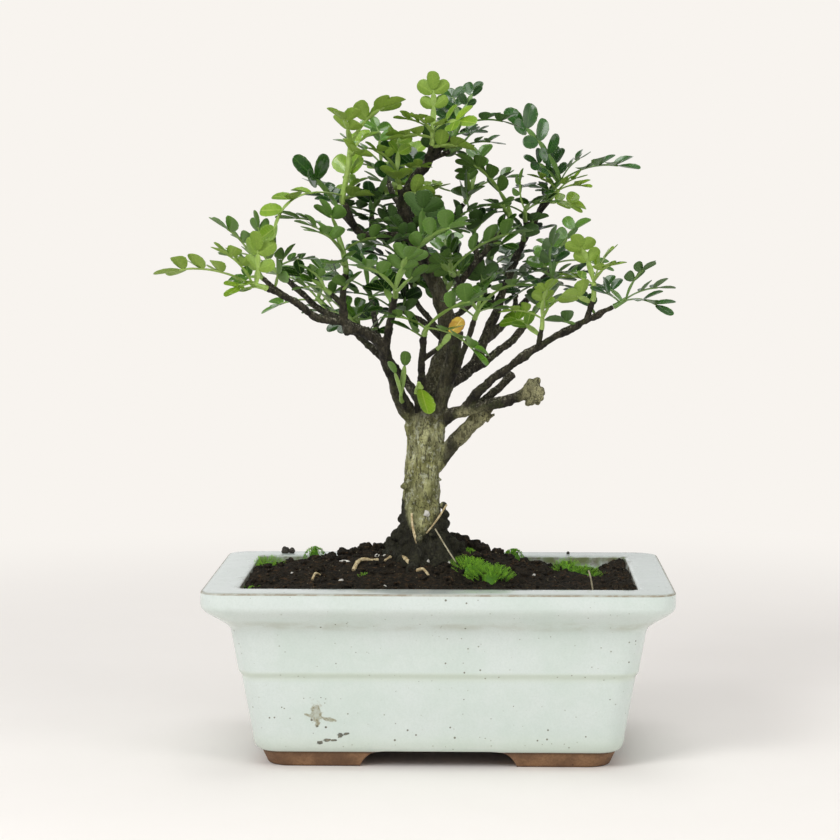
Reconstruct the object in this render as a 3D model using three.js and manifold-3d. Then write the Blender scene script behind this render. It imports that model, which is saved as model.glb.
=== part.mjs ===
// A chinese pepper bonsai: a small tree with winged compound leaves, in a glazed rectangular pot.
// Millimetres, +Z up, +X to the right and +Y away from the viewer. Every place below is measured
// from the middle of the pot's foot. The last lines move the whole group so that the origin is
// the middle of its bounding box, to the nearest millimetre, on the surface that it stands on.

import * as THREE from "three";
import { mergeVertices } from "three/addons/utils/BufferGeometryUtils.js";
import Module from "manifold-3d";

const wasm = await Module();
wasm.setup();

// Driving dimensions of the pot
const RIM_WIDTH = 160;
const RIM_DEPTH = 104;
const POT_HEIGHT = 63;
const RIM_LEDGE = 12.5;
const RIM_LIP = 4.7;
const RIM_ROUND = 0.8;
const COVE_HEIGHT = 10.4;
const COVE_INSET = 9.3;
const STEP_HEIGHT = 33;
const STEP_INSET = 0.7;
const WALL_SLOPE = 0.16;
const FOOT_HEIGHT = 5.5;
const FOOT_INSET = 18.6;
const FOOT_TAPER = 2.2;
const FOOT_WIDTH = 9;
const FLOOR_UNDERSIDE = 7;
const FLOOR_TOP = 13;
const CAVITY_FLOOR_INSET = 19.8;
const GAP_HALF_FRONT = 27;
const GAP_HALF_SIDE = 16;
const GAP_CURVE = 9;
const DRAIN_HOLE = 12;
const DRAIN_SPACING = 60;
const MESH_SIZE = 22;
const MESH_THICKNESS = 1;
const MESH_BAR = 2;

// Driving dimensions of the soil, the wood and the leaves
const FIT = 0.35;
const SOIL_EDGE = 60.4;
const SOIL_MOUND = 11;
const SOIL_MOUND_MIDDLE = [-8, 5];
const SOIL_MOUND_REACH = [44, 26];
const TRUNK_SIDES = 12;
const THREE_LOBES = 0.07;
const FIVE_LOBES = 0.05;
const ROOT_TURNS = [15, 75, 140, 200, 255, 310];
const ROOT_RADII = [2.9, 1.3];
const ROOT_SIDES = 5;
const ROOT_REACH = 23;
const ROOT_REACH_STEP = 3;
const TWIG_SIDES = 4;
const BRANCH_SIDES = 5;
const BRANCH_RADIUS = 1.8;
const STEM_RADIUS = 1.1;
const STEM_TAPER = 0.8;
const STEM_LEAD = 1.2;
const LEAF_THICKNESS = 0.7;
const LEAF_ARCH = 0.12;
const LEAFLET_FORWARD = 35;
const LEAFLET_FOLD = 14;
const LEAFLET_WIDTH = 0.66;
const PAIRS_DRAWN = 0.5;
const RIB_HALF_WIDTH = 0.75;
const CLEAR_OF_LEAF = 2.0;
const CLEAR_OF_WOOD = 1.3;
const ROOT_ZONE = 6;
const NEAR_BAR = 16;
const BAR_SPACING = 5;
const LEAF_REACH_SPARE = 4;

const COLOURS = {
  glaze: "#d6dfd5",
  mesh: "#2e302f",
  soil: "#2d251b",
  bark: "#6d6a52",
  young: "#7fa33a",
  mature: "#4d7433",
  glossy: "#2f5236",
  withered: "#c2a24a",
};

// The trunk below its first fork, as the middle and the radius of each section from the soil up
const TRUNK = [
  [[-4, 0, 44], 4], [[-4, 0, 54], 11], [[-5, 0, 64], 13.0], [[-5, 0, 71], 11.0], [[-5.5, 0, 78], 8.2],
  [[-6.2, 0, 84], 6.9], [[-6.3, 0, 90], 6.2], [[-5.8, 0, 98], 6.0], [[-5, 0, 106], 6.2],
  [[-5, 0, 115], 6.9], [[-5, 0, 121], 5.2],
];

// Knobs and swellings where old shoots were cut away, as places and radii
const KNOBS = [
  [[32, -14.5, 127.5], 2.7], [[33, -13.5, 131], 2.0], [[31, -16, 129.5], 2.0],
  [[-12.4, -3, 94], 1.6], [[-13, 1, 82], 1.9], [[-31, -17, 150], 3.0],
];

// Wood above the trunk: name, first radius, last radius, and the route of its middle.
// Each piece starts inside the wood that it grows from.
const WOOD = [
  ["left", 3.1, 1.6, [[-5, 0, 112], [-13, -3, 123], [-17, -7, 134], [-21, -12, 145], [-34, -18, 153]]],
  ["left_low", 1.5, 1.1, [[-32, -17, 152], [-42, -21, 154], [-50, -26, 160], [-58, -31, 164]]],
  ["left_high", 1.4, 1.0, [[-34, -18, 153], [-42, -14, 157], [-55, -6, 168]]],
  ["left_twig", 1.5, 1.1, [[-33, -17, 152], [-33, -20, 160], [-32, -22, 169]]],
  ["left_pale", 1.1, 0.9, [[-33, -19, 158], [-37, -22, 162]]],
  ["left_mid", 1.6, 1.1, [[-19, -11, 143], [-17, -16, 152], [-15, -25, 161]]],
  ["left_tip_up", 1.1, 0.9, [[-50, -26, 160], [-55, -23, 163], [-60, -21, 167]]],
  ["front_mid", 1.6, 1.1, [[-4, -1, 118], [-6, -10, 130], [-6, -19, 141], [-5, -25, 148]]],
  ["withered", 1.0, 0.8, [[-6, -17, 139], [-1, -20, 143]]],
  ["sprout_low", 1.1, 0.9, [[-8, -2, 119], [-8, -10, 127]]],
  ["sprout_thin", 1.0, 0.8, [[-11, -3, 120], [-13, -9, 124]]],
  ["cut_leader", 3.0, 2.4, [[-2, -2, 116], [2, -6, 130], [5, -8, 143], [6, -8, 149]]],
  ["cut_stub", 2.3, 3.0, [[-2, 0, 100], [5, -2, 109], [16, -4, 121]]],
  ["knuckle", 2.5, 1.7, [[-3, 0, 115], [6, -6, 120], [17, -10, 123], [31, -14, 127.5]]],
  ["knuckle_end", 1.4, 1.1, [[27, -12, 126.5], [33, -14, 131.5]]],
  ["right_stub", 1.6, 1.4, [[12, -8, 121.6], [18.5, -6, 127], [25.5, -3, 133.5]]],
  ["right_long", 1.8, 1.0, [[7, -6.5, 120.3], [17, -12, 131], [34, -20, 144], [48, -26, 152],
    [59, -30, 158]]],
  ["right_mid_lime", 1.0, 0.9, [[34, -20, 144], [35, -23, 150]]],
  ["right_tip_young", 1.1, 1.0, [[50, -27, 153], [52, -30, 160]]],
  ["right_up", 2.4, 1.1, [[-1, 4, 128], [10, 11, 134], [17, 16, 148], [27, 22, 174], [37, 20, 194]]],
  ["right_top_tuft", 1.0, 0.9, [[35, 21, 190], [39, 14, 195]]],
  ["right_top_front", 1.1, 0.9, [[31, 22, 182], [30, 14, 187]]],
  ["right_dark", 1.7, 1.0, [[8, 9, 132], [24, 18, 143], [32, 24, 152], [39, 26, 162]]],
  ["front_right", 1.3, 1.0, [[2, -5, 127], [8, -12, 141], [12, -18, 153]]],
  ["leader", 4.3, 1.2, [[-5, 0, 114], [-1, 5, 133], [3, 6, 148], [-4, 2, 170], [-13, -2, 191],
    [-4, -4, 208], [4, -5, 216]]],
  ["mid_right", 1.5, 1.0, [[1, 5, 156], [9, 2, 168], [22, 7, 184]]],
  ["mid_right_dark", 1.1, 0.9, [[13, 3, 173], [12, 8, 181]]],
  ["mid_right_front", 1.1, 0.9, [[7, 3, 165], [5, -5, 168]]],
  ["core_front", 1.3, 1.0, [[-4, 2, 168], [-6, -10, 175], [-6, -23, 181]]],
  ["core_right", 1.1, 0.9, [[-8, 1, 178], [-2, -5, 182]]],
  ["inner_left", 1.1, 0.9, [[-4, 3, 167], [-13, 10, 173]]],
  ["inner_low", 1.2, 0.9, [[2, 6, 144], [-6, 10, 151], [-14, 12, 155]]],
  ["inner_right", 1.1, 0.9, [[20, 18, 156], [15, 11, 162]]],
  ["top_left", 1.6, 1.3, [[-9, 0, 181], [-19, -4, 182], [-28, -8, 183], [-33, -12, 193]]],
  ["crown_left_glossy", 1.0, 0.9, [[-28, -8, 183], [-34, -4, 189]]],
  ["crown_left_side", 1.0, 0.9, [[-24, -6, 182], [-24, -1, 188]]],
  ["crown_mid", 1.1, 0.9, [[-13, -2, 190], [-14, -6, 198]]],
  ["crown_top", 1.1, 1.0, [[-5, -4, 206], [-3, -7, 213]]],
  ["crown_right_low", 1.0, 0.9, [[-4, -4, 208], [3, -1, 211]]],
  ["crown_back", 1.2, 0.9, [[-13, -2, 190], [-17, 7, 197], [-20, 13, 203]]],
  ["back_left", 2.0, 1.1, [[-4, 2, 117], [-12, 14, 129], [-30, 30, 145], [-42, 36, 155]]],
  ["back_left_up", 1.3, 1.0, [[-21, 23, 138], [-24, 31, 149], [-26, 36, 158]]],
  ["back_left_in", 1.3, 1.0, [[-12, 14, 129], [-21, 13, 141], [-30, 12, 150]]],
  ["back_mid", 2.0, 1.1, [[0, 5, 134], [1, 18, 145], [2, 30, 153], [1, 40, 163]]],
  ["back_mid_right", 1.2, 0.9, [[2, 26, 150], [12, 34, 158], [16, 37, 165]]],
  ["back_mid_left", 1.2, 0.9, [[1, 19, 146], [-8, 26, 156], [-11, 28, 165]]],
  ["back_high", 1.5, 1.0, [[-4, 2, 170], [-7, 13, 177], [-10, 22, 185], [-11, 27, 194]]],
  ["back_high_right", 1.1, 0.9, [[-8, 15, 179], [2, 20, 186], [8, 21, 193]]],
  ["back_right", 1.7, 1.0, [[15, 15, 144], [26, 28, 153], [40, 42, 169]]],
  ["back_right_in", 1.2, 0.9, [[25, 27, 152], [27, 38, 156], [26, 45, 161]]],
];

// Leafy shoots: the wood that carries it, its tone, and its green stem as steps from the wood's end.
// Each leaf is: place along the stem from 0 to 1, azimuth, elevation, length, pairs of leaflets,
// roll about its own rib, arch as a share of its length, and leaflet length where it isn't usual.
const SHOOTS = [
  ["top_left", "young", [[2, -2, 10], [3, -3, 18]], [[1, -20, 35, 26, 3, 0, 0.18],
    [0.96, -100, 32, 22, 2], [0.84, 45, 35, 16, 2], [0.1, -146, -42, 38, 3, 0, 0.34]]],
  ["crown_left_glossy", "glossy", [[-2, 0, 4]], [[1, -150, 42, 22, 1, -60, 0.05, 10],
    [0.7, 140, 30, 20, 2]]],
  ["crown_left_side", "glossy", [[1, 0, 4]], [[1, 20, 54, 25, 3, 40], [0.8, 50, 8, 17, 2],
    [0.5, -35, 14, 17, 2]]],
  ["crown_mid", "young", [[-1, -2, 5]], [[1, -129, 45, 18, 2], [0.7, -50, 23, 15, 1],
    [0.9, 100, 55, 18, 2]]],
  ["crown_top", "young", [[0, -1, 4]], [[1, -90, 78, 20, 3], [0.9, 165, 44, 15, 1],
    [0.8, -32, 24, 25, 3, 50], [0.6, -100, 24, 15, 1]]],
  ["leader", "glossy", [[2, -1, 4]], [[1, 23, 60, 16, 1, 60], [0.7, -23, 10, 24, 3],
    [0.9, 110, 50, 18, 2]]],
  ["crown_right_low", "glossy", [[3, 1, 1]], [[1, 50, 26, 16, 2], [0.7, -15, 2, 17, 2],
    [0.5, 110, 28, 20, 2]]],
  ["right_up", "glossy", [[3, -1, 4], [5, -2, 6]], [[1, -152, 46, 34, 4, -75], [1, -15, 40, 15, 1],
    [0.8, -35, 20, 34, 3], [0.2, -70, -4, 17, 2], [0.7, -120, 34, 17, 1, -55]]],
  ["right_top_tuft", "young", [[2, -2, 2]], [[1, -60, 26, 14, 2], [0.7, 5, 50, 13, 1],
    [0.9, -140, 44, 13, 1]]],
  ["right_top_front", "mature", [[0, -3, 3]], [[1, -80, 62, 15, 2], [0.8, -40, 25, 16, 1],
    [0.6, -160, 15, 18, 2]]],
  ["mid_right", "mature", [[2, 0, 4]], [[1, -149, 35, 32, 3], [0.7, -100, 20, 18, 2]]],
  ["mid_right_dark", "glossy", [[0, 0, 4]], [[1, -120, 66, 19, 2, 0, 0.1, 8], [0.8, 50, 15, 17, 2]]],
  ["mid_right_front", "mature", [[-1, -3, 1]], [[1, -16, 25, 33, 4], [0.8, -90, 18, 15, 2]]],
  ["left_mid", "mature", [[0, -3, 2]], [[1, -34, 34, 38, 4, 0, 0.2], [0.9, -66, 70, 21, 2],
    [0.8, -128, 32, 26, 3], [0.5, 175, 25, 20, 2]]],
  ["front_mid", "mature", [[1, -2, 2]], [[1, -30, 20, 27, 3], [0.8, -40, -26, 29, 3],
    [0.6, -150, 12, 18, 2]]],
  ["withered", "withered", [[1, -1, 1]], [[1, -5, 52, 11.5, 0, 112, 0.06, 7]]],
  ["core_front", "glossy", [[0, -3, 1]], [[1, -85, 50, 18, 1, 0, 0.1, 8], [0.8, -15, 20, 17, 2],
    [0.6, 175, 8, 20, 2]]],
  ["core_right", "glossy", [[3, -2, 1]], [[1, 8, 30, 17, 2], [0.8, -50, 25, 16, 2]]],
  ["left_low", "young", [[-4, -2, 1]], [[1, -170, 5, 33, 4, 12], [0.8, -128, 4, 17, 1],
    [0.9, -135, 34, 22, 3]]],
  ["left_tip_up", "mature", [[-2, 0, 4]], [[1, -80, 58, 19, 2], [0.9, -117, 64, 25, 3],
    [0.7, 150, 42, 17, 2]]],
  ["left_high", "mature", [[-3, 0, 2]], [[0.6, 30, 10, 17, 2], [0.3, -30, -8, 15, 2], [1, 130, 28, 22, 3],
    [0.9, 175, 35, 20, 2]]],
  ["left_twig", "mature", [[-1, 0, 6], [-3, 2, 12]], [[0.4, -122, 20, 24, 3], [0.55, 168, 14, 20, 2],
    [0.5, -40, -6, 19, 2], [1, -168, 10, 25, 3]]],
  ["left_pale", "mature", [[-1, -1, 1]], [[1, -135, 34, 14, 1], [0.6, 160, -4, 13, 1]]],
  ["sprout_low", "young", [[1, -6, 3]], [[1, -78, -62, 13, 0, 0, 0.1, 10.5]]],
  ["sprout_thin", "mature", [[0, -3, 2]], [[1, -60, 76, 16, 0, 0, 0.04, 5.5],
    [0.9, -120, 66, 14, 0, 0, 0.05, 5]]],
  ["right_long", "glossy", [[3, -1, 2]], [[1, -42, 45, 18, 1], [0.7, -50, -12, 24, 3],
    [0.5, 14, -2, 20, 3], [0.6, 80, 12, 20, 2]]],
  ["right_tip_young", "young", [[0, -1, 5]], [[1, -135, 58, 19, 2], [1, -60, 48, 18, 2],
    [0.8, 140, 28, 15, 2], [0.9, 5, 40, 16, 1]]],
  ["right_mid_lime", "young", [[0, -1, 3]], [[1, -69, 55, 16, 2], [0.8, -160, 35, 16, 2],
    [0.6, 60, 30, 17, 2]]],
  ["front_right", "mature", [[1, -2, 2]], [[1, -28, 7, 26, 3, 0, 0.18], [0.8, -130, 30, 16, 2],
    [0.7, 60, 40, 18, 2]]],
  ["right_dark", "glossy", [[0, -1, 4]], [[1, -72, 70, 19, 2, 0, 0.1, 7], [0.8, -120, 39, 18, 2],
    [0.5, -160, 9, 20, 2], [0.6, -25, 8, 17, 2], [0.7, 75, 22, 22, 3]]],
  ["inner_right", "glossy", [[-1, -2, 2]], [[1, -105, -8, 18, 2], [0.7, -35, 8, 18, 2]]],
  ["inner_left", "glossy", [[-2, 1, 2]], [[1, -160, 22, 20, 2], [0.8, 130, 40, 20, 2]]],
  ["inner_low", "glossy", [[-3, 1, 1]], [[1, -172, 12, 20, 2], [0.8, 110, 15, 20, 2]]],
  ["crown_back", "mature", [[-1, 2, 4]], [[1, 110, 55, 20, 2], [0.8, 170, 25, 20, 2],
    [0.6, 50, 25, 20, 2]]],
  ["back_left", "mature", [[-3, 1, 3]], [[1, 150, 20, 24, 2], [0.8, 90, 35, 22, 2],
    [0.6, -170, 8, 22, 2]]],
  ["back_left_up", "glossy", [[-1, 1, 4]], [[1, 120, 55, 20, 2], [0.8, 60, 25, 20, 2],
    [0.6, 170, 28, 20, 2]]],
  ["back_left_in", "mature", [[-3, 0, 3]], [[1, 170, 40, 20, 2], [0.5, -150, 15, 18, 2]]],
  ["back_mid", "mature", [[0, 2, 4]], [[1, 90, 40, 24, 2], [0.8, 140, 14, 22, 2], [0.7, 35, 14, 22, 2]]],
  ["back_mid_right", "glossy", [[1, 1, 4]], [[1, 60, 55, 20, 2], [0.8, 0, 30, 18, 2],
    [0.6, -70, 35, 18, 2]]],
  ["back_mid_left", "glossy", [[-1, 1, 4]], [[1, 120, 55, 20, 2], [0.7, -165, 24, 18, 2],
    [0.8, 60, 30, 18, 2]]],
  ["back_high", "young", [[0, 2, 4]], [[1, 95, 55, 22, 2], [0.8, 150, 22, 22, 2], [0.7, 40, 18, 18, 2]]],
  ["back_high_right", "mature", [[2, 0, 4]], [[1, 60, 55, 20, 2], [0.8, 0, 28, 20, 2],
    [0.6, -60, 38, 16, 2]]],
  ["back_right", "mature", [[2, 2, 3]], [[1, 40, 42, 22, 2], [0.8, 95, 18, 22, 2],
    [0.6, -15, 18, 22, 2]]],
  ["back_right_in", "glossy", [[0, 2, 3]], [[1, 90, 40, 20, 2], [0.8, 140, 8, 18, 2],
    [0.6, 40, 0, 18, 2]]],
];

const halfRimX = RIM_WIDTH / 2;
const halfRimY = RIM_DEPTH / 2;
const radians = THREE.MathUtils.degToRad;

function vector([x, y, z]) {
  return new THREE.Vector3(x, y, z);
}

// Closed meshes and solids

function closedGeometry(points, triangles) {
  const geometry = new THREE.BufferGeometry();
  geometry.setAttribute("position", new THREE.Float32BufferAttribute(points.flatMap((p) => p.toArray()), 3));
  let volume = 0;
  for (const [a, b, c] of triangles) {
    volume += points[a].dot(new THREE.Vector3().crossVectors(points[b], points[c]));
  }
  const outward = volume > 0 ? triangles : triangles.map(([a, b, c]) => [a, c, b]);
  geometry.setIndex(outward.flat());
  return geometry;
}

function solid(geometry) {
  const bare = geometry.clone();
  bare.deleteAttribute("normal");
  bare.deleteAttribute("uv");
  const merged = mergeVertices(bare, 1e-4);
  const vertProperties = new Float32Array(merged.attributes.position.array);
  const triVerts = new Uint32Array(merged.index.array);
  return new wasm.Manifold(new wasm.Mesh({ numProp: 3, vertProperties, triVerts }));
}

function geometryOf(manifold) {
  const { vertProperties, triVerts } = manifold.getMesh();
  const geometry = new THREE.BufferGeometry();
  geometry.setAttribute("position", new THREE.BufferAttribute(vertProperties, 3));
  geometry.setIndex(new THREE.BufferAttribute(triVerts, 1));
  return geometry;
}

function joined(manifolds) {
  return manifolds.reduce((whole, next) => whole.add(next));
}

// A skin over rings of equal count, closed at both ends
function loft(rings) {
  const count = rings[0].length;
  const points = rings.flat();
  const triangles = [];
  for (let ring = 0; ring + 1 < rings.length; ring += 1) {
    for (let i = 0; i < count; i += 1) {
      const a = ring * count + i;
      const b = ring * count + ((i + 1) % count);
      triangles.push([a, b, b + count], [a, b + count, a + count]);
    }
  }
  const last = (rings.length - 1) * count;
  for (let i = 1; i + 1 < count; i += 1) {
    triangles.push([0, i + 1, i], [last, last + i, last + i + 1]);
  }
  return closedGeometry(points, triangles);
}

function box(sizeX, sizeY, sizeZ, x, y, z) {
  return new THREE.BoxGeometry(sizeX, sizeY, sizeZ).translate(x, y, z);
}

// A rounded rectangle seen from above, with extra points along its straight sides
function roundedRing(halfX, halfY, radius, z, cornerSteps = 3, sideSteps = [1, 1]) {
  const ring = [];
  const corners = [[1, 1], [-1, 1], [-1, -1], [1, -1]];
  corners.forEach(([signX, signY], quarter) => {
    const centreX = signX * (halfX - radius);
    const centreY = signY * (halfY - radius);
    for (let step = 0; step <= cornerSteps; step += 1) {
      const turn = (quarter + step / cornerSteps) * Math.PI / 2;
      ring.push(new THREE.Vector3(centreX + radius * Math.cos(turn), centreY + radius * Math.sin(turn), z));
    }
    const [nextX, nextY] = corners[(quarter + 1) % 4];
    const from = ring.at(-1);
    const turn = (quarter + 1) * Math.PI / 2;
    const to = new THREE.Vector3(
      nextX * (halfX - radius) + radius * Math.cos(turn),
      nextY * (halfY - radius) + radius * Math.sin(turn),
      z,
    );
    const steps = sideSteps[quarter % 2];
    for (let step = 1; step < steps; step += 1) {
      ring.push(from.clone().lerp(to, step / steps));
    }
  });
  return ring;
}

// The pot

// How far the outside wall stands in from the rim's outer edge at a height
function wallInset(z) {
  const coveTop = POT_HEIGHT - RIM_LIP;
  const coveFoot = coveTop - COVE_HEIGHT;
  if (z >= coveFoot) {
    return COVE_INSET * THREE.MathUtils.smoothstep(coveTop - z, 0, COVE_HEIGHT);
  }
  const step = z < STEP_HEIGHT ? STEP_INSET : 0;
  return COVE_INSET + (coveFoot - z) * WALL_SLOPE + step;
}

// How far the cavity's wall stands in from the rim's outer edge at a height
function cavityInset(z) {
  const wallTop = POT_HEIGHT - COVE_HEIGHT;
  const bend = RIM_LEDGE + 0.8;
  if (z >= wallTop) {
    return THREE.MathUtils.mapLinear(z, wallTop, POT_HEIGHT, bend, RIM_LEDGE);
  }
  return THREE.MathUtils.mapLinear(z, FLOOR_TOP, wallTop, CAVITY_FLOOR_INSET, bend);
}

function potRing(z, inset, radius) {
  return roundedRing(halfRimX - inset, halfRimY - inset, radius, z);
}

function potShell() {
  const outsideRadius = 8;
  const openingRadius = 3;
  const coveTop = POT_HEIGHT - RIM_LIP;
  const coveHeights = [0, 0.25, 0.5, 0.75, 1].map((share) => coveTop - share * COVE_HEIGHT);
  const belt = 0.4;
  const kneeHeight = 11;
  const outside = [
    [0, FOOT_INSET + FOOT_TAPER],
    [FOOT_HEIGHT, FOOT_INSET],
    [8, wallInset(kneeHeight) + 1.2],
    [kneeHeight, wallInset(kneeHeight)],
    [STEP_HEIGHT - belt, wallInset(STEP_HEIGHT - belt)],
    [STEP_HEIGHT + belt, wallInset(STEP_HEIGHT + belt)],
    ...coveHeights.reverse().map((z) => [z, wallInset(z)]),
    [POT_HEIGHT - RIM_ROUND, 0],
    [POT_HEIGHT, RIM_ROUND],
  ];
  const inside = [POT_HEIGHT, POT_HEIGHT - COVE_HEIGHT, FLOOR_TOP].map((z) => [z, cavityInset(z)]);
  const rings = outside.map(([z, inset]) => potRing(z, inset, outsideRadius));
  rings.push(...inside.map(([z, inset]) => potRing(z, inset, openingRadius)));
  return solid(loft(rings));
}

// The curved gap between two feet, as a prism that runs along Y
function footGap(halfWidth, length) {
  const outline = new THREE.Shape();
  const crown = halfWidth - GAP_CURVE;
  outline.moveTo(-halfWidth, -1);
  outline.lineTo(halfWidth, -1);
  outline.lineTo(halfWidth, 0);
  outline.quadraticCurveTo(halfWidth - 2, FLOOR_UNDERSIDE - 1, crown, FLOOR_UNDERSIDE - 1);
  outline.lineTo(-crown, FLOOR_UNDERSIDE - 1);
  outline.quadraticCurveTo(2 - halfWidth, FLOOR_UNDERSIDE - 1, -halfWidth, 0);
  const prism = new THREE.ExtrudeGeometry(outline, { depth: length, bevelEnabled: false, curveSegments: 3 });
  return prism.translate(0, 0, -length / 2).rotateX(Math.PI / 2);
}

function pot() {
  const footInner = FOOT_INSET + FOOT_TAPER + FOOT_WIDTH;
  const pocket = loft([
    potRing(-1, footInner, 4),
    potRing(FLOOR_UNDERSIDE, footInner, 4),
  ]);
  let body = potShell().subtract(solid(pocket));
  body = body.subtract(solid(footGap(GAP_HALF_FRONT, RIM_DEPTH)));
  body = body.subtract(solid(footGap(GAP_HALF_SIDE, RIM_WIDTH).rotateZ(Math.PI / 2)));
  for (const side of [-1, 1]) {
    const hole = new THREE.CylinderGeometry(DRAIN_HOLE / 2, DRAIN_HOLE / 2, FLOOR_TOP * 2, 12);
    hole.rotateX(Math.PI / 2).translate(side * DRAIN_SPACING / 2, 0, FLOOR_TOP);
    body = body.subtract(solid(hole));
  }
  return geometryOf(body);
}

// A square of plastic netting with two openings each way
function drainMesh(side) {
  const opening = (MESH_SIZE - 3 * MESH_BAR) / 2;
  const offset = (opening + MESH_BAR) / 2;
  let plate = solid(box(MESH_SIZE, MESH_SIZE, MESH_THICKNESS, 0, 0, 0));
  for (const [x, y] of [[-1, -1], [1, -1], [1, 1], [-1, 1]]) {
    plate = plate.subtract(solid(box(opening, opening, 2 * MESH_THICKNESS, x * offset, y * offset, 0)));
  }
  const lift = FLOOR_TOP + FIT + MESH_THICKNESS / 2;
  return geometryOf(plate).translate(side * DRAIN_SPACING / 2, 0, lift);
}

// Routes and round wood

// A smooth route through the points, where the place runs from 0 to points.length - 1
function routeAt(points, place) {
  const segment = Math.min(Math.floor(place), points.length - 2);
  const t = place - segment;
  const at = (i) => {
    if (i < 0) {
      return points[0].clone().multiplyScalar(2).sub(points[1]);
    }
    if (i >= points.length) {
      return points.at(-1).clone().multiplyScalar(2).sub(points.at(-2));
    }
    return points[i];
  };
  const weights = [
    (-t + 2 * t * t - t * t * t) / 2,
    (2 - 5 * t * t + 3 * t * t * t) / 2,
    (t + 4 * t * t - 3 * t * t * t) / 2,
    (-t * t + t * t * t) / 2,
  ];
  const result = new THREE.Vector3();
  weights.forEach((weight, i) => result.addScaledVector(at(segment - 1 + i), weight));
  return result;
}

function routePoints(points, spacing) {
  const places = [0];
  for (let segment = 0; segment + 1 < points.length; segment += 1) {
    const steps = Math.max(1, Math.ceil(points[segment].distanceTo(points[segment + 1]) / spacing));
    for (let step = 1; step <= steps; step += 1) {
      places.push(segment + step / steps);
    }
  }
  return places.map((place) => ({ point: routeAt(points, place), share: place / (points.length - 1) }));
}

// A round piece along a route. The radius is a function of the share of the route that is done.
function roundWood(points, radiusAt, sides, spacing) {
  const route = routePoints(points, spacing);
  let across = new THREE.Vector3(0.3, 1, 0.2);
  const rings = route.map(({ point, share }, i) => {
    const before = route[Math.max(i - 1, 0)].point;
    const after = route[Math.min(i + 1, route.length - 1)].point;
    const forward = after.clone().sub(before).normalize();
    across = across.addScaledVector(forward, -across.dot(forward)).normalize();
    const third = new THREE.Vector3().crossVectors(forward, across);
    return Array.from({ length: sides }, (_, side) => {
      const turn = (side / sides) * Math.PI * 2;
      const radius = radiusAt(share, turn);
      return point.clone()
        .addScaledVector(across, radius * Math.cos(turn))
        .addScaledVector(third, radius * Math.sin(turn));
    });
  });
  return solid(loft(rings));
}

function tapered(points, first, last, sides, spacing = 30, extra = 0) {
  return roundWood(points, (share) => first + (last - first) * share + extra, sides, spacing);
}

// The trunk below its first fork, with the roots that spread into the soil
function rootStock(extra) {
  const rings = TRUNK.map(([middle, radius], level) => Array.from({ length: TRUNK_SIDES }, (_, side) => {
    const turn = (side / TRUNK_SIDES) * Math.PI * 2;
    const lobes = 1 + THREE_LOBES * Math.cos(3 * turn + level * 0.5)
      + FIVE_LOBES * Math.cos(5 * turn - level * 0.4);
    const reach = radius * lobes + extra;
    return vector(middle).add(new THREE.Vector3(reach * Math.cos(turn), reach * Math.sin(turn), 0));
  }));
  const trunk = solid(loft(rings));
  const roots = ROOT_TURNS.map((degrees, i) => {
    const turn = radians(degrees);
    const out = (distance, z) => new THREE.Vector3(
      distance * Math.cos(turn) - 5, distance * Math.sin(turn), z);
    const reach = ROOT_REACH + ROOT_REACH_STEP * (i % 3);
    const route = [out(4, 76), out(11, 71), out(17, 65.5), out(reach, 56)];
    return tapered(route, ...ROOT_RADII, ROOT_SIDES, 30, extra);
  });
  return joined([trunk, ...roots]);
}

const woodByName = new Map(WOOD.map(([name, first, last, route]) => [
  name,
  { first, last, route: route.map(vector) },
]));

function knobs() {
  return KNOBS.map(([place, radius]) => solid(new THREE.IcosahedronGeometry(radius, 0).translate(...place)));
}

function tree() {
  const pieces = [rootStock(0)];
  for (const { first, last, route } of woodByName.values()) {
    const sides = first >= BRANCH_RADIUS ? BRANCH_SIDES : TWIG_SIDES;
    pieces.push(tapered(route, first, last, sides));
  }
  return geometryOf(joined([...pieces, ...knobs()]));
}

// The soil

function soilHeight(x, y) {
  const [middleX, middleY] = SOIL_MOUND_MIDDLE;
  const [reachX, reachY] = SOIL_MOUND_REACH;
  const distance = Math.hypot((x - middleX) / reachX, (y - middleY) / reachY);
  const mound = SOIL_MOUND * Math.exp(-(distance ** 2));
  const corner = 2.2 * (Math.max(x, 0) / halfRimX) ** 2 + 1.4 * Math.max(y, 0) / halfRimY;
  const crumbs = 0.5 * Math.sin(x * 0.31 + y * 0.17) + 0.5 * Math.cos(y * 0.37 - x * 0.11);
  return SOIL_EDGE + mound - corner + crumbs;
}

function soil() {
  const ring = (z, inset, scale = 1) => roundedRing(
    (halfRimX - inset) * scale, (halfRimY - inset) * scale, 3 * scale, z, 1, [5, 3]);
  const bendHeight = POT_HEIGHT - COVE_HEIGHT;
  const bottom = FLOOR_TOP + FIT;
  const rings = [
    ring(bottom, cavityInset(bottom) + FIT),
    ring(bendHeight, cavityInset(bendHeight) + FIT),
  ];
  for (const scale of [1, 0.8, 0.6, 0.42, 0.26]) {
    const level = ring(SOIL_EDGE, cavityInset(SOIL_EDGE) + FIT, scale);
    rings.push(level.map((p) => {
      const x = p.x + SOIL_MOUND_MIDDLE[0] * (1 - scale);
      const y = p.y + SOIL_MOUND_MIDDLE[1] * (1 - scale);
      return new THREE.Vector3(x, y, soilHeight(x, y));
    }));
  }
  let bed = solid(loft(rings)).subtract(rootStock(FIT));
  const pocket = MESH_SIZE + 2 * FIT;
  const pocketHeight = 2 * (MESH_THICKNESS + 2 * FIT);
  for (const side of [-1, 1]) {
    bed = bed.subtract(solid(box(pocket, pocket, pocketHeight, side * DRAIN_SPACING / 2, 0, FLOOR_TOP)));
  }
  return geometryOf(bed);
}

// Compound leaves

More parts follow.
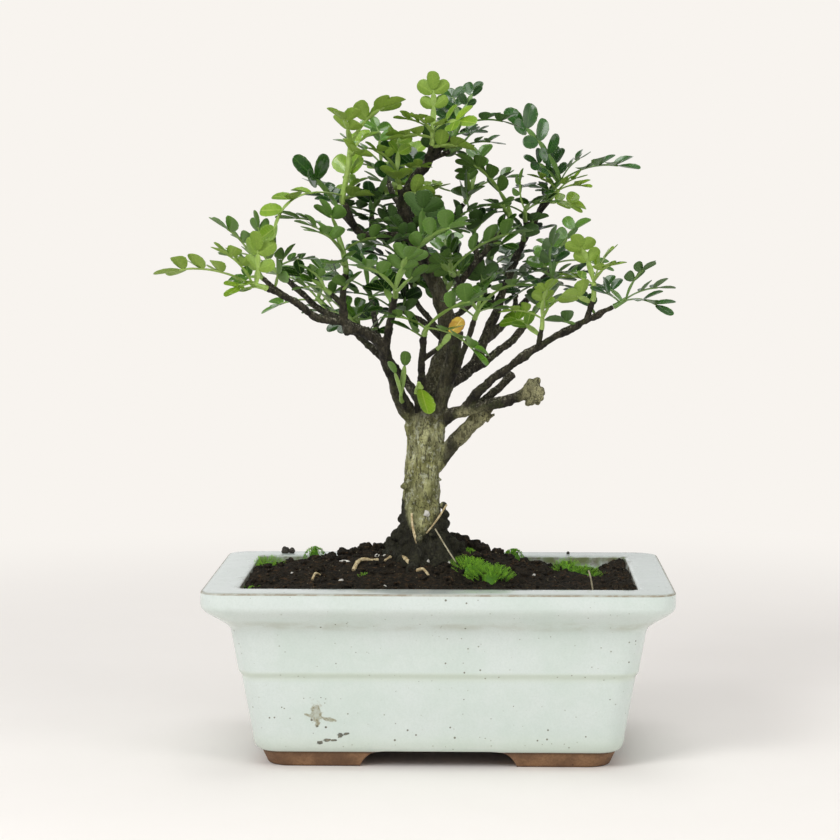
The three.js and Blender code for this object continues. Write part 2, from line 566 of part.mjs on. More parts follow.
function heading(azimuth, elevation) {
  const flat = Math.cos(radians(elevation));
  return new THREE.Vector3(
    flat * Math.cos(radians(azimuth)), flat * Math.sin(radians(azimuth)), Math.sin(radians(elevation)));
}

// The rib of a leaf: an arc from its root to the tip of its last leaflet. Its upper face looks up,
// and a little towards the middle of the tree.
function leafRib(root, leaf, swing) {
  const [, azimuth, elevation, length, pairs, roll = 0, arch = LEAF_ARCH, usual] = leaf;
  const size = usual ?? Math.min(8.5, Math.max(4.5, 0.32 * length));
  const chord = heading(azimuth + swing[0], elevation + swing[1]);
  const inward = new THREE.Vector3(-root.x, -root.y, 0).normalize().multiplyScalar(0.25);
  const up = new THREE.Vector3(0, 0, 1).add(inward);
  up.addScaledVector(chord, -up.dot(chord)).normalize();
  up.applyAxisAngle(chord, radians(roll));
  const tip = root.clone().addScaledVector(chord, length);
  const bend = root.clone().lerp(tip, 0.5).addScaledVector(up, 2 * arch * length);
  return { root, tip, bend, up, length, pairs, size, tipStart: length - size };
}

function ribFrame(rib, distance) {
  const t = distance / rib.length;
  const point = rib.root.clone().multiplyScalar((1 - t) ** 2)
    .addScaledVector(rib.bend, 2 * t * (1 - t))
    .addScaledVector(rib.tip, t * t);
  const forward = rib.bend.clone().sub(rib.root).multiplyScalar(1 - t)
    .addScaledVector(rib.tip.clone().sub(rib.bend), t)
    .normalize();
  const up = rib.up.clone().addScaledVector(forward, -rib.up.dot(forward)).normalize();
  const side = new THREE.Vector3().crossVectors(forward, up);
  return { point, forward, up, side };
}

// Points spread over the room that a leaf takes, used to keep leaves clear of each other
function leafRoom(rib) {
  const spacing = 2.5;
  const petiole = 0.2 * rib.length;
  const room = [];
  for (let distance = 0; distance <= rib.length; distance += spacing) {
    const { point, up, side } = ribFrame(rib, distance);
    room.push(point);
    if (distance < petiole) {
      continue;
    }
    const paired = rib.pairs > 0 && distance < rib.tipStart + rib.size * 0.3;
    const reach = paired ? 0.85 * rib.size : 0.3 * rib.size;
    for (const share of paired ? [-1, -0.66, -0.33, 0.33, 0.66, 1] : [-1, 1]) {
      const lift = Math.abs(share) * reach * Math.tan(radians(LEAFLET_FOLD));
      room.push(point.clone().addScaledVector(side, share * reach).addScaledVector(up, lift));
    }
  }
  return room;
}

// The blade: a thin arched sheet cut to its rib, with leaflets in pairs and one at the tip.
// Both faces are split into triangles alike.
function leafBlade(rib) {
  const middle = [];
  const normals = [];
  const faces = [];
  const addPoint = (point, normal) => {
    middle.push(point);
    normals.push(normal);
    return middle.length - 1;
  };
  const addFace = (a, b, c) => {
    const cross = middle[b].clone().sub(middle[a]).cross(middle[c].clone().sub(middle[a]));
    faces.push(cross.dot(normals[a]) > 0 ? [a, b, c] : [a, c, b]);
  };
  const station = (distance, halfWidth) => {
    const { point, up, side } = ribFrame(rib, distance);
    return [-1, 1].map((sign) => addPoint(point.clone().addScaledVector(side, sign * halfWidth), up));
  };
  const addLeaflet = (rootA, rootB, frame, out, size) => {
    const origin = middle[rootA].clone().lerp(middle[rootB], 0.5);
    const normal = frame.up.clone().addScaledVector(out, -frame.up.dot(out)).normalize();
    const across = middle[rootB].clone().sub(middle[rootA]);
    across.addScaledVector(out, -across.dot(out)).normalize();
    const corner = (along, offset) => addPoint(
      origin.clone().addScaledVector(out, along * size).addScaledVector(across, offset * size), normal);
    const half = LEAFLET_WIDTH / 2;
    const near = corner(0.66, -half);
    const far = corner(0.66, half);
    const tip = corner(1, 0);
    addFace(rootA, near, tip);
    addFace(rootA, tip, rootB);
    addFace(rootB, tip, far);
  };

  const drawn = Math.ceil(rib.pairs * PAIRS_DRAWN);
  const lastPair = rib.tipStart - RIB_HALF_WIDTH;
  const firstPair = drawn === 1 ? lastPair : 0.26 * rib.length;
  const pairSpacing = drawn > 1 ? (lastPair - firstPair) / (drawn - 1) : 0;
  let previous = station(0, 0.5);
  const bridge = (next) => {
    addFace(previous[0], previous[1], next[1]);
    addFace(previous[0], next[1], next[0]);
    previous = next;
  };
  for (let pair = 0; pair < drawn; pair += 1) {
    const place = firstPair + pair * pairSpacing;
    bridge(station(place - RIB_HALF_WIDTH, RIB_HALF_WIDTH));
    const start = previous;
    bridge(station(place + RIB_HALF_WIDTH, RIB_HALF_WIDTH));
    const frame = ribFrame(rib, place);
    [-1, 1].forEach((sign, i) => {
      const out = frame.side.clone().multiplyScalar(sign * Math.cos(radians(LEAFLET_FORWARD)))
        .addScaledVector(frame.forward, Math.sin(radians(LEAFLET_FORWARD)))
        .addScaledVector(frame.up, Math.tan(radians(LEAFLET_FOLD)))
        .normalize();
      addLeaflet(start[i], previous[i], frame, out, rib.size);
    });
  }
  if (drawn === 0) {
    bridge(station(rib.tipStart, RIB_HALF_WIDTH));
  }
  const end = ribFrame(rib, rib.tipStart);
  addLeaflet(previous[0], previous[1], end, end.forward, rib.size);
  return thickened(middle, normals, faces);
}

// Two faces a blade's thickness apart, and a wall round their free edges
function thickened(middle, normals, faces) {
  const count = middle.length;
  const shifted = (sign) => middle.map((point, i) => point.clone()
    .addScaledVector(normals[i], sign * LEAF_THICKNESS / 2));
  const points = [...shifted(1), ...shifted(-1)];
  const triangles = faces.flatMap(([a, b, c]) => [[a, b, c], [a + count, c + count, b + count]]);
  const edges = faces.flatMap(([a, b, c]) => [[a, b], [b, c], [c, a]]);
  const known = new Set(edges.map(([a, b]) => `${a} ${b}`));
  for (const [a, b] of edges) {
    if (!known.has(`${b} ${a}`)) {
      triangles.push([b, a, a + count], [b, a + count, b + count]);
    }
  }
  return closedGeometry(points, triangles);
}

// Shoots

// Small swings that a leaf tries in turn until it is clear of what already grows there
const SWINGS = [[0, 0]];
for (const size of [7, 14, 21, 28, 35]) {
  for (const turn of [0, 180, 90, 270, 45, 225, 135, 315]) {
    SWINGS.push([size * Math.cos(radians(turn)), size * Math.sin(radians(turn))]);
  }
}

function stemOf([carrier, tone, steps]) {
  const { route, last } = woodByName.get(carrier);
  const end = route.at(-1);
  const forward = end.clone().sub(route.at(-2)).normalize();
  const start = end.clone().addScaledVector(forward, FIT);
  const lead = start.clone().addScaledVector(forward, STEM_LEAD);
  const points = [start, lead, ...steps.map((step) => lead.clone().add(vector(step)))];
  return { carrier, tone, points, radius: Math.min(last, STEM_RADIUS) };
}

// Straight pieces with a radius, which stand for wood and stems when leaves are kept clear
function barsOf(points, first, last) {
  const route = routePoints(points, BAR_SPACING);
  return route.slice(1).map(({ point, share }, i) => ({
    from: route[i].point, to: point, radius: first + (last - first) * share,
  }));
}

function distanceToBar(point, { from, to, radius }) {
  const along = to.clone().sub(from);
  const t = THREE.MathUtils.clamp(point.clone().sub(from).dot(along) / along.lengthSq(), 0, 1);
  return point.distanceTo(from.clone().addScaledVector(along, t)) - radius;
}

// How much a leaf has to spare: under 0 means that it is too close to something
function spareRoom(room, rib, owner, bars, leaves) {
  let spare = Infinity;
  for (const point of room) {
    const nearRoot = point.distanceTo(rib.root) < ROOT_ZONE;
    for (const bar of bars) {
      if (nearRoot || bar.from.distanceTo(point) > NEAR_BAR) {
        continue;
      }
      spare = Math.min(spare, distanceToBar(point, bar) - CLEAR_OF_WOOD);
    }
    for (const other of leaves) {
      const far = other.middle.distanceTo(point) > other.reach + LEAF_REACH_SPARE;
      if (far || (nearRoot && other.owner === owner)) {
        continue;
      }
      for (const taken of other.room) {
        spare = Math.min(spare, taken.distanceTo(point) - CLEAR_OF_LEAF);
      }
    }
  }
  return spare;
}

function growLeaves(stems) {
  const bars = stems.flatMap(({ points, radius }) => barsOf(points, radius, STEM_TAPER * radius));
  for (const { first, last, route } of woodByName.values()) {
    bars.push(...barsOf(route, first, last));
  }
  const grown = [];
  SHOOTS.forEach(([carrier, , , leaves], i) => {
    const { points } = stems[i];
    for (const leaf of leaves) {
      const root = routeAt(points, 1 + leaf[0] * (points.length - 2));
      let best = null;
      for (const swing of SWINGS) {
        const rib = leafRib(root, leaf, swing);
        const room = leafRoom(rib);
        const spare = spareRoom(room, rib, carrier, bars, grown);
        if (best === null || spare > best.spare) {
          best = { rib, room, spare, owner: carrier };
        }
        if (spare >= 0) {
          break;
        }
      }
      best.middle = root.clone().lerp(best.rib.tip, 0.5);
      best.reach = Math.max(...best.room.map((point) => point.distanceTo(best.middle)));
      grown.push(best);
    }
  });
  return grown;
}

// Assembly

const inner = new THREE.Group();

function place(name, geometry, color, roughness) {
  const mesh = new THREE.Mesh(geometry, new THREE.MeshStandardMaterial({ color, roughness, metalness: 0 }));
  mesh.name = name;
  inner.add(mesh);
}

place("pot", pot(), COLOURS.glaze, 0.3);
place("drain_mesh_left", drainMesh(-1), COLOURS.mesh, 0.6);
place("drain_mesh_right", drainMesh(1), COLOURS.mesh, 0.6);
place("soil", soil(), COLOURS.soil, 0.95);
place("tree", tree(), COLOURS.bark, 0.9);

const stems = SHOOTS.map(stemOf);
const grown = growLeaves(stems);
for (const { carrier, tone, points, radius } of stems) {
  const stem = tapered(points, radius, STEM_TAPER * radius, TWIG_SIDES);
  const blades = grown.filter(({ owner }) => owner === carrier).map(({ rib }) => solid(leafBlade(rib)));
  const roughness = tone === "glossy" ? 0.35 : 0.5;
  place(`shoot_${carrier}`, geometryOf(joined([stem, ...blades])), COLOURS[tone], roughness);
}

const centre = new THREE.Box3().setFromObject(inner).getCenter(new THREE.Vector3()).round();
inner.position.set(-centre.x, -centre.y, 0);

const bonsai = new THREE.Group();
bonsai.add(inner);

export default bonsai;
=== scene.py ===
# %% [markdown]
# A chinese pepper bonsai in a glazed pot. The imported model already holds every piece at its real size:
# the pot, its drain meshes, the soil, the wood and forty-four leafy shoots. Blender adds what the eye
# looks for up close. Each lesson takes one piece, says what it is on the real tree and how it could be
# made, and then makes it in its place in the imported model.

import math
import random

import bmesh
import bpy
import numpy as np
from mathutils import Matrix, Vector, noise


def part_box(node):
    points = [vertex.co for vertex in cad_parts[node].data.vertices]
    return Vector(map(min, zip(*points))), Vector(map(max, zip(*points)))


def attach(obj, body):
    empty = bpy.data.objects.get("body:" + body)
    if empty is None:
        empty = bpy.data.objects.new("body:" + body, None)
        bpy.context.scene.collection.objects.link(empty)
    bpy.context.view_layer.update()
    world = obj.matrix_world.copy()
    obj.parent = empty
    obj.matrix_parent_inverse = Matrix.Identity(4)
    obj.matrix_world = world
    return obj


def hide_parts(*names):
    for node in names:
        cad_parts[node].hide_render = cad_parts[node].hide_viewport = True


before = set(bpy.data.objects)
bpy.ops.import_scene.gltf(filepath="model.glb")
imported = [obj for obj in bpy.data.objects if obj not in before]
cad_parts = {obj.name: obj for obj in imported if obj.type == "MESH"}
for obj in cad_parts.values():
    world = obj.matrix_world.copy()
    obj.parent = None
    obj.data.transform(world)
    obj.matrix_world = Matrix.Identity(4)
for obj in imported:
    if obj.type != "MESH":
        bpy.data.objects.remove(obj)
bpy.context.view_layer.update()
scene = bpy.context.scene
print("nodes in the packed model:", len(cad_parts))

# %% [markdown]
# A gardener measures a bonsai in millimetres from the middle of its pot, and so do these lessons. The
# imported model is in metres, and its origin lies under the middle of the whole tree, so one helper turns
# the first into the second.

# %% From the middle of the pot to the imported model
MM = 0.001
pot_low, pot_high = (np.array(corner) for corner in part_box("pot"))
POT_MIDDLE = (pot_low + pot_high) / 2 * [1, 1, 0]


def to_model(points):
    """Millimetres from the middle of the pot's foot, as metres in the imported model."""
    return np.asarray(points, dtype=float) * MM + POT_MIDDLE


print("middle of the pot in mm:", np.round(POT_MIDDLE / MM, 2))

# %% [markdown]
# The picture was taken from just above the rim of the pot, a little to the right of its middle, with a
# long lens. A long lens flattens the view, so the far rim looks almost as wide as the near one.

# %% The camera
EYE = [14.7, -836.6, 186.7]
LOOKING_DOWN = 4.762
TURNED_LEFT = 1.494
LENS = 102.0

lens = bpy.data.cameras.new("camera")
lens.lens = LENS
lens.sensor_width = 36.0
lens.clip_start = 0.01
lens.clip_end = 60.0
camera = bpy.data.objects.new("camera", lens)
camera.location = to_model(EYE)
camera.rotation_euler = (math.radians(90 - LOOKING_DOWN), 0, math.radians(TURNED_LEFT))
scene.collection.objects.link(camera)
scene.camera = camera
scene.view_settings.view_transform = "Standard"

# %% [markdown]
# A material in Blender is a small machine of nodes. These helpers add a node, wire it, and hand back the
# socket that comes out, so that a finish reads like a recipe: mottle, then specks, then grime. Colours
# are written as the eye reads them, from 0 to 255, and turned into the linear numbers that light needs.

# %% Helpers for shader nodes
FLOAT = "NodeSocketFloat"
VECTOR = "NodeSocketVector"


def tone(red, green, blue):
    """An sRGB colour, 0 to 255 in each channel, as linear red, green, blue and alpha."""
    shares = [value / 255 for value in (red, green, blue)]
    linear = [share / 12.92 if share <= 0.04045 else ((share + 0.055) / 1.055) ** 2.4 for share in shares]
    return (*linear, 1.0)


def feed(socket, value):
    """Sets a socket to a value, or wires another node's output into it."""
    if isinstance(value, bpy.types.NodeSocket):
        socket.id_data.links.new(value, socket)
    else:
        socket.default_value = value


def add(tree, kind, inputs=None, **settings):
    """A new node with its settings and its inputs filled in."""
    made = tree.nodes.new(kind)
    for name, value in settings.items():
        setattr(made, name, value)
    for socket, value in (inputs or {}).items():
        feed(made.inputs[socket], value)
    return made


def tree_of(*values):
    """The node tree that the first socket among some values belongs to."""
    return next(value.id_data for value in values if isinstance(value, bpy.types.NodeSocket))


def maths(operation, first, second=0.0):
    tree = tree_of(first, second)
    return add(tree, "ShaderNodeMath", {0: first, 1: second}, operation=operation).outputs[0]


def chained(operation):
    """A function that joins any number of values by one operation, from left to right."""
    def joined(*values):
        result = values[0]
        for value in values[1:]:
            result = maths(operation, result, value)
        return result
    return joined


times, plus, minus, most = (chained(name) for name in ("MULTIPLY", "ADD", "SUBTRACT", "MAXIMUM"))


def span(value, low, high):
    """The value, eased from 0 at low to 1 at high."""
    made = add(value.id_data, "ShaderNodeMapRange", {0: value, 1: low, 2: high})
    made.interpolation_type = "SMOOTHSTEP"
    return made.outputs[0]


def between(share, low, high):
    """A number between low and high, by a share from 0 to 1."""
    return add(share.id_data, "ShaderNodeMapRange", {0: share, 3: low, 4: high}).outputs[0]


def blend(share, under, over):
    """The colour over laid on the colour under, by a share from 0 to 1."""
    tree = tree_of(share, under, over)
    return add(tree, "ShaderNodeMix", {0: share, 6: under, 7: over}, data_type="RGBA").outputs[2]


def paint(under, over, mask, strength=None):
    """Lays a colour, as red, green and blue from 0 to 255, on the one under it where the mask is."""
    return blend(mask if strength is None else times(mask, strength), under, tone(*over))


def millimetres(tree):
    """The place on the piece, in millimetres from the middle of the pot's foot."""
    place = add(tree, "ShaderNodeTexCoord").outputs["Object"]
    moved = add(tree, "ShaderNodeVectorMath", {0: place, 1: POT_MIDDLE.tolist()}, operation="SUBTRACT")
    scaled = add(tree, "ShaderNodeVectorMath", {0: moved.outputs[0], "Scale": 1 / MM}, operation="SCALE")
    return scaled.outputs[0]


def axes(tree):
    """The same place as its three numbers: across, to the back and up."""
    return add(tree, "ShaderNodeSeparateXYZ", {0: millimetres(tree)}).outputs

# %% Helpers for groups and materials
def new_group(name, inputs, outputs):
    """An empty node group with named sockets: its tree, what comes in, and what goes out."""
    group = bpy.data.node_groups.new(name, "ShaderNodeTree")
    for label, kind, value in inputs:
        socket = group.interface.new_socket(name=label, in_out="INPUT", socket_type=kind)
        socket.default_value = value
    for label, kind in outputs:
        group.interface.new_socket(name=label, in_out="OUTPUT", socket_type=kind)
    return group, add(group, "NodeGroupInput").outputs, add(group, "NodeGroupOutput").inputs


def use(tree, group, **values):
    """Places a node group in a material. Value names have _ where the socket's name has a space."""
    made = add(tree, "ShaderNodeGroup", node_tree=group)
    for name, value in values.items():
        feed(made.inputs[name.replace("_", " ")], value)
    return made.outputs


def new_material(name):
    """A material with a bare Principled shader: the material, its node tree and the shader's inputs."""
    made = bpy.data.materials.new(name)
    made.use_nodes = True
    return made, made.node_tree, made.node_tree.nodes["Principled BSDF"].inputs


def bump(height, depth_mm):
    """A normal that rises and falls with height, by depth_mm from 0 to 1."""
    inputs = {"Strength": 1.0, "Distance": depth_mm * MM, "Height": height}
    return add(height.id_data, "ShaderNodeBump", inputs).outputs[0]


def finish(shader, colour, roughness, height, depth_mm):
    """Feeds a material's colour, its roughness and its relief."""
    feed(shader["Base Color"], colour)
    feed(shader["Roughness"], roughness)
    feed(shader["Normal"], bump(height, depth_mm))

# %% [markdown]
# Nothing that grew or was fired has one even colour. Two effects come back on almost every piece: a soft
# mottle, which is a noise cut to a range, and specks, which are small round cells picked out at random.
# Each is built once as a node group, and every material gives it sizes of its own in millimetres.

# %% Shared effects: mottle and specks
def mottle_group():
    group, given, out = new_group(
        "mottle",
        [("Size", FLOAT, 5.0), ("Detail", FLOAT, 4.0), ("Low", FLOAT, 0.4), ("High", FLOAT, 0.6),
         ("Squeeze", VECTOR, (1.0, 1.0, 1.0))],
        [("Mask", FLOAT)])
    place = add(group, "ShaderNodeVectorMath", {0: millimetres(group), 1: given["Squeeze"]},
                operation="MULTIPLY").outputs[0]
    scale = maths("DIVIDE", 1, given["Size"])
    field = add(group, "ShaderNodeTexNoise", {"Vector": place, "Scale": scale, "Detail": given["Detail"],
                                              "Roughness": 0.6}).outputs[0]
    feed(out["Mask"], span(field, given["Low"], given["High"]))
    return group


def specks_group():
    group, given, out = new_group(
        "specks", [("Spacing", FLOAT, 5.0), ("Radius", FLOAT, 0.1), ("Share", FLOAT, 0.5)],
        [("Mask", FLOAT)])
    scale = maths("DIVIDE", 1, given["Spacing"])
    cells = add(group, "ShaderNodeTexVoronoi", {"Vector": millimetres(group), "Scale": scale})
    pick = add(group, "ShaderNodeSeparateColor", {0: cells.outputs["Color"]}).outputs
    radius = times(given["Radius"], plus(pick[1], 0.35))
    inside = span(cells.outputs["Distance"], radius, times(radius, 0.55))
    chosen = maths("LESS_THAN", pick[0], given["Share"])
    feed(out["Mask"], times(inside, chosen))
    return group


MOTTLE = mottle_group()
SPECKS = specks_group()


def mottle(tree, size, detail, low, high, squeeze=(1, 1, 1)):
    """Where a noise of one size lies, from 0 under low to 1 over high."""
    return use(tree, MOTTLE, Size=size, Detail=detail, Low=low, High=high, Squeeze=squeeze)["Mask"]


def specks(tree, spacing, radius, share):
    """Where small round cells lie, for a share of the places that they could have."""
    return use(tree, SPECKS, Spacing=spacing, Radius=radius, Share=share)["Mask"]

# %% [markdown]
# The tree stands on a white table against a white wall, under big soft lamps. The wall has no edge, so
# the table is one wide disc that is a real, shaded surface near the pot, and turns bit by bit into the
# colour of the wall further out. That hides the horizon from every side, and keeps the soft shadow.

# %% The table
WALL_TONE = tone(248, 244, 239)
TABLE_TONE = tone(243, 239, 235)
TABLE_RADIUS = 6000.0
SHADED_RADIUS = (170.0, 620.0)
WINDOW_WAY = [-0.40, -0.62, 0.67]


def table_material():
    made, tree, shader = new_material("table")
    place = axes(tree)
    across = maths("POWER", plus(times(place[0], place[0]), times(place[1], place[1])), 0.5)
    paper = mottle(tree, 40, 4, 0.3, 0.7)
    feed(shader["Base Color"], paint(TABLE_TONE, (240, 236, 231), paper, 0.25))
    shader["Roughness"].default_value = 0.9
    shader["Specular IOR Level"].default_value = 0.1
    far = add(tree, "ShaderNodeEmission", {"Color": WALL_TONE, "Strength": 1.0}).outputs[0]
    near = tree.nodes["Principled BSDF"].outputs[0]
    share = span(across, *SHADED_RADIUS)
    mixed = add(tree, "ShaderNodeMixShader", {0: share, 1: near, 2: far}).outputs[0]
    feed(tree.nodes["Material Output"].inputs["Surface"], mixed)
    return made


def build_table():
    turns = [math.tau * step / 96 for step in range(96)]
    disc = [(TABLE_RADIUS * math.cos(turn), TABLE_RADIUS * math.sin(turn), 0.0) for turn in turns]
    mesh = bpy.data.meshes.new("table")
    mesh.from_pydata(to_model(disc).tolist(), [], [tuple(range(len(disc)))])
    mesh.materials.append(table_material())
    table = bpy.data.objects.new("table", mesh)
    scene.collection.objects.link(table)

# %% The wall and its light
def build_wall():
    world = bpy.data.worlds.new("wall")
    world.use_nodes = True
    tree = world.node_tree
    ray = add(tree, "ShaderNodeLightPath").outputs
    light = add(tree, "ShaderNodeBackground", {"Color": tone(250, 249, 248), "Strength": 0.5}).outputs[0]
    way_out = add(tree, "ShaderNodeTexCoord").outputs["Generated"]
    way = add(tree, "ShaderNodeSeparateXYZ", {0: way_out}).outputs
    level = span(maths("ABSOLUTE", way[2]), 0.55, 0.15)
    glow = times(level, between(span(way[1], -0.2, 0.6), 0.4, 1))
    glow = times(glow, between(span(way[0], -0.02, 0.08), 1, 0.75))
    toward = add(tree, "ShaderNodeVectorMath", {0: way_out, 1: WINDOW_WAY}, operation="DOT_PRODUCT")
    window = times(span(toward.outputs["Value"], 0.8, 0.92), 2.2)
    strength = plus(between(glow, 0.15, 0.95), window)
    room = add(tree, "ShaderNodeBackground", {"Color": tone(240, 240, 240), "Strength": strength}).outputs[0]
    wall = add(tree, "ShaderNodeBackground", {"Color": WALL_TONE, "Strength": 1.0}).outputs[0]
    light = add(tree, "ShaderNodeMixShader", {0: ray["Is Glossy Ray"], 1: light, 2: room}).outputs[0]
    mixed = add(tree, "ShaderNodeMixShader", {0: ray["Is Camera Ray"], 1: light, 2: wall}).outputs[0]
    feed(tree.nodes["World Output"].inputs["Surface"], mixed)
    scene.world = world

# %% The lamps
def softbox(name, place, width, height, power):
    lamp = bpy.data.lights.new(name, "AREA")
    lamp.shape = "RECTANGLE"
    lamp.size = width * MM
    lamp.size_y = height * MM
    lamp.energy = power
    box = bpy.data.objects.new(name, lamp)
    box.location = to_model(place)
    aim = Vector(to_model([0, 0, 110])) - box.location
    box.rotation_euler = aim.to_track_quat("-Z", "Y").to_euler()
    scene.collection.objects.link(box)


build_table()
build_wall()
softbox("lamp_front_left", [-620, -760, 760], 420, 420, 5.9)
softbox("lamp_front_right", [760, -620, 520], 420, 420, 2.3)
softbox("lamp_above", [60, 120, 1050], 560, 560, 2.5)
softbox("lamp_strip", [-80, -560, 900], 1300, 110, 1.2)

# %% [markdown]
# Every piece below ends in the same few steps: its points become a mesh, its corners stay crisp or turn
# smooth by their angle, it gets its materials, it is hung on the body that it rides on, and the plain
# solids that it stands for are hidden. Two functions share that work, and the second prints its size.

# %% Turning points and faces into a piece
def recalculated(mesh, crease):
    """Turns every face outward, and shades smooth across edges that bend by less than crease degrees."""
    work = bmesh.new()
    work.from_mesh(mesh)
    bmesh.ops.recalc_face_normals(work, faces=work.faces)
    for face in work.faces:
        face.smooth = True
    for edge in work.edges:
        edge.smooth = edge.calc_face_angle(0.0) < math.radians(crease)
    work.to_mesh(mesh)
    work.free()

# %% Hanging a piece on its body and hiding the parts that it replaces
def dress(piece, stands_for, crease=40.0):
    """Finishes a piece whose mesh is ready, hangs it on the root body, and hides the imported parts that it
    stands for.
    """
    recalculated(piece.data, crease)
    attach(piece, "root")
    if stands_for:
        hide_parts(*stands_for)
    triangles = sum(len(face.vertices) - 2 for face in piece.data.polygons)
    print(f"{piece.name}: {triangles} triangles")


def raw_piece(name, points, faces, materials=()):
    """An object with a mesh of points in millimetres, not yet finished."""
    mesh = bpy.data.meshes.new(name)
    mesh.from_pydata(to_model(points).tolist(), [], faces)
    for material in materials:
        mesh.materials.append(material)
    piece = bpy.data.objects.new(name, mesh)
    scene.collection.objects.link(piece)
    return piece


def mark(mesh, name, values):
    """Stores one number for each point of a mesh, for its material to read."""
    mesh.attributes.new(name, "FLOAT", "POINT").data.foreach_set("value", np.asarray(values, dtype=float))


def marked(tree, name):
    return add(tree, "ShaderNodeAttribute", attribute_name=name).outputs["Fac"]


def places_of(mesh):
    """A mesh's points in millimetres from the middle of the pot's foot."""
    points = np.empty(len(mesh.vertices) * 3)
    mesh.vertices.foreach_get("co", points)
    return (points.reshape(-1, 3) - POT_MIDDLE) / MM


def move_points(mesh, points):
    mesh.vertices.foreach_set("co", to_model(points).ravel())
    mesh.update()


def loft(rings):
    """Points and faces of a skin over rings of equal count, closed at both ends."""
    count = len(rings[0])
    faces = []
    for ring in range(len(rings) - 1):
        for i in range(count):
            a = ring * count + i
            b = ring * count + (i + 1) % count
            faces.append((a, b, b + count, a + count))
    last = (len(rings) - 1) * count
    faces.append(tuple(reversed(range(count))))
    faces.append(tuple(range(last, last + count)))
    return np.concatenate(rings), faces

# %% [markdown]
# The pot is a mould-made tray with a broad flat rim, a soft cove under it, a thin belt half way down and
# two low feet. It could be a sculpted box, but a loft is closer to how it is made: one profile from foot
# to rim and down into the opening, swept round a rounded rectangle. The gaps between the feet, the
# hollow under the floor and the two drain holes are then cut out, as a potter cuts them.

# %% Sizes of the pot
RIM_WIDTH, RIM_DEPTH, POT_HEIGHT = (pot_high - pot_low) / MM
RIM_LEDGE = 12.5
RIM_LIP = 4.7
RIM_ROUND = 0.8
COVE_HEIGHT = 10.4
COVE_INSET = 9.3
STEP_HEIGHT = 33.0
STEP_INSET = 0.7
WALL_SLOPE = 0.16
FOOT_HEIGHT = 5.5
FOOT_INSET = 18.6
FOOT_TAPER = 2.2
FOOT_WIDTH = 9.0
FLOOR_UNDERSIDE = 7.0
FLOOR_TOP = 13.0
CAVITY_FLOOR_INSET = 19.8
OUTSIDE_RADIUS = 8.0
OPENING_RADIUS = 3.0
DRAIN_HOLE = 12.0
DRAIN_SPACING = 60.0
COVE_TOP = POT_HEIGHT - RIM_LIP
COVE_FOOT = COVE_TOP - COVE_HEIGHT


def eased(value, low, high):
    share = np.clip((value - low) / (high - low), 0, 1)
    return share * share * (3 - 2 * share)


def wall_inset(z):
    """How far the outside wall stands in from the rim's outer edge at a height."""
    if z >= COVE_FOOT:
        return COVE_INSET * eased(COVE_TOP - z, 0, COVE_HEIGHT)
    belt = STEP_INSET * (1 - eased(z, STEP_HEIGHT - 1.2, STEP_HEIGHT + 1.2))
    return COVE_INSET + (COVE_FOOT - z) * WALL_SLOPE + belt


def cavity_inset(z):
    """How far the wall of the opening stands in from the rim's outer edge at a height."""
    bend_height = POT_HEIGHT - COVE_HEIGHT
    bend_inset = RIM_LEDGE + 0.8
    if z >= bend_height:
        return bend_inset + (RIM_LEDGE - bend_inset) * (z - bend_height) / COVE_HEIGHT
    share = (z - FLOOR_TOP) / (bend_height - FLOOR_TOP)
    return CAVITY_FLOOR_INSET + (bend_inset - CAVITY_FLOOR_INSET) * share


def rounded_ring(half_x, half_y, radius, z, corner_steps=9, side_steps=(20, 12)):
    """A rounded rectangle seen from above, with points along its corners and its sides."""
    ring = []
    corners = [(1, 1), (-1, 1), (-1, -1), (1, -1)]
    for quarter, (sign_x, sign_y) in enumerate(corners):
        for step in range(corner_steps + 1):
            turn = (quarter + step / corner_steps) * math.pi / 2
            ring.append((sign_x * (half_x - radius) + radius * math.cos(turn),
                         sign_y * (half_y - radius) + radius * math.sin(turn), z))
        turn = (quarter + 1) * math.pi / 2
        next_x, next_y = corners[(quarter + 1) % 4]
        start = np.array(ring[-1])
        end = np.array([next_x * (half_x - radius) + radius * math.cos(turn),
                        next_y * (half_y - radius) + radius * math.sin(turn), z])
        steps = side_steps[quarter % 2]
        ring += [tuple(start + (end - start) * step / steps) for step in range(1, steps)]
    return np.array(ring)


def pot_ring(z, inset, radius):
    return rounded_ring(RIM_WIDTH / 2 - inset, RIM_DEPTH / 2 - inset, radius, z)

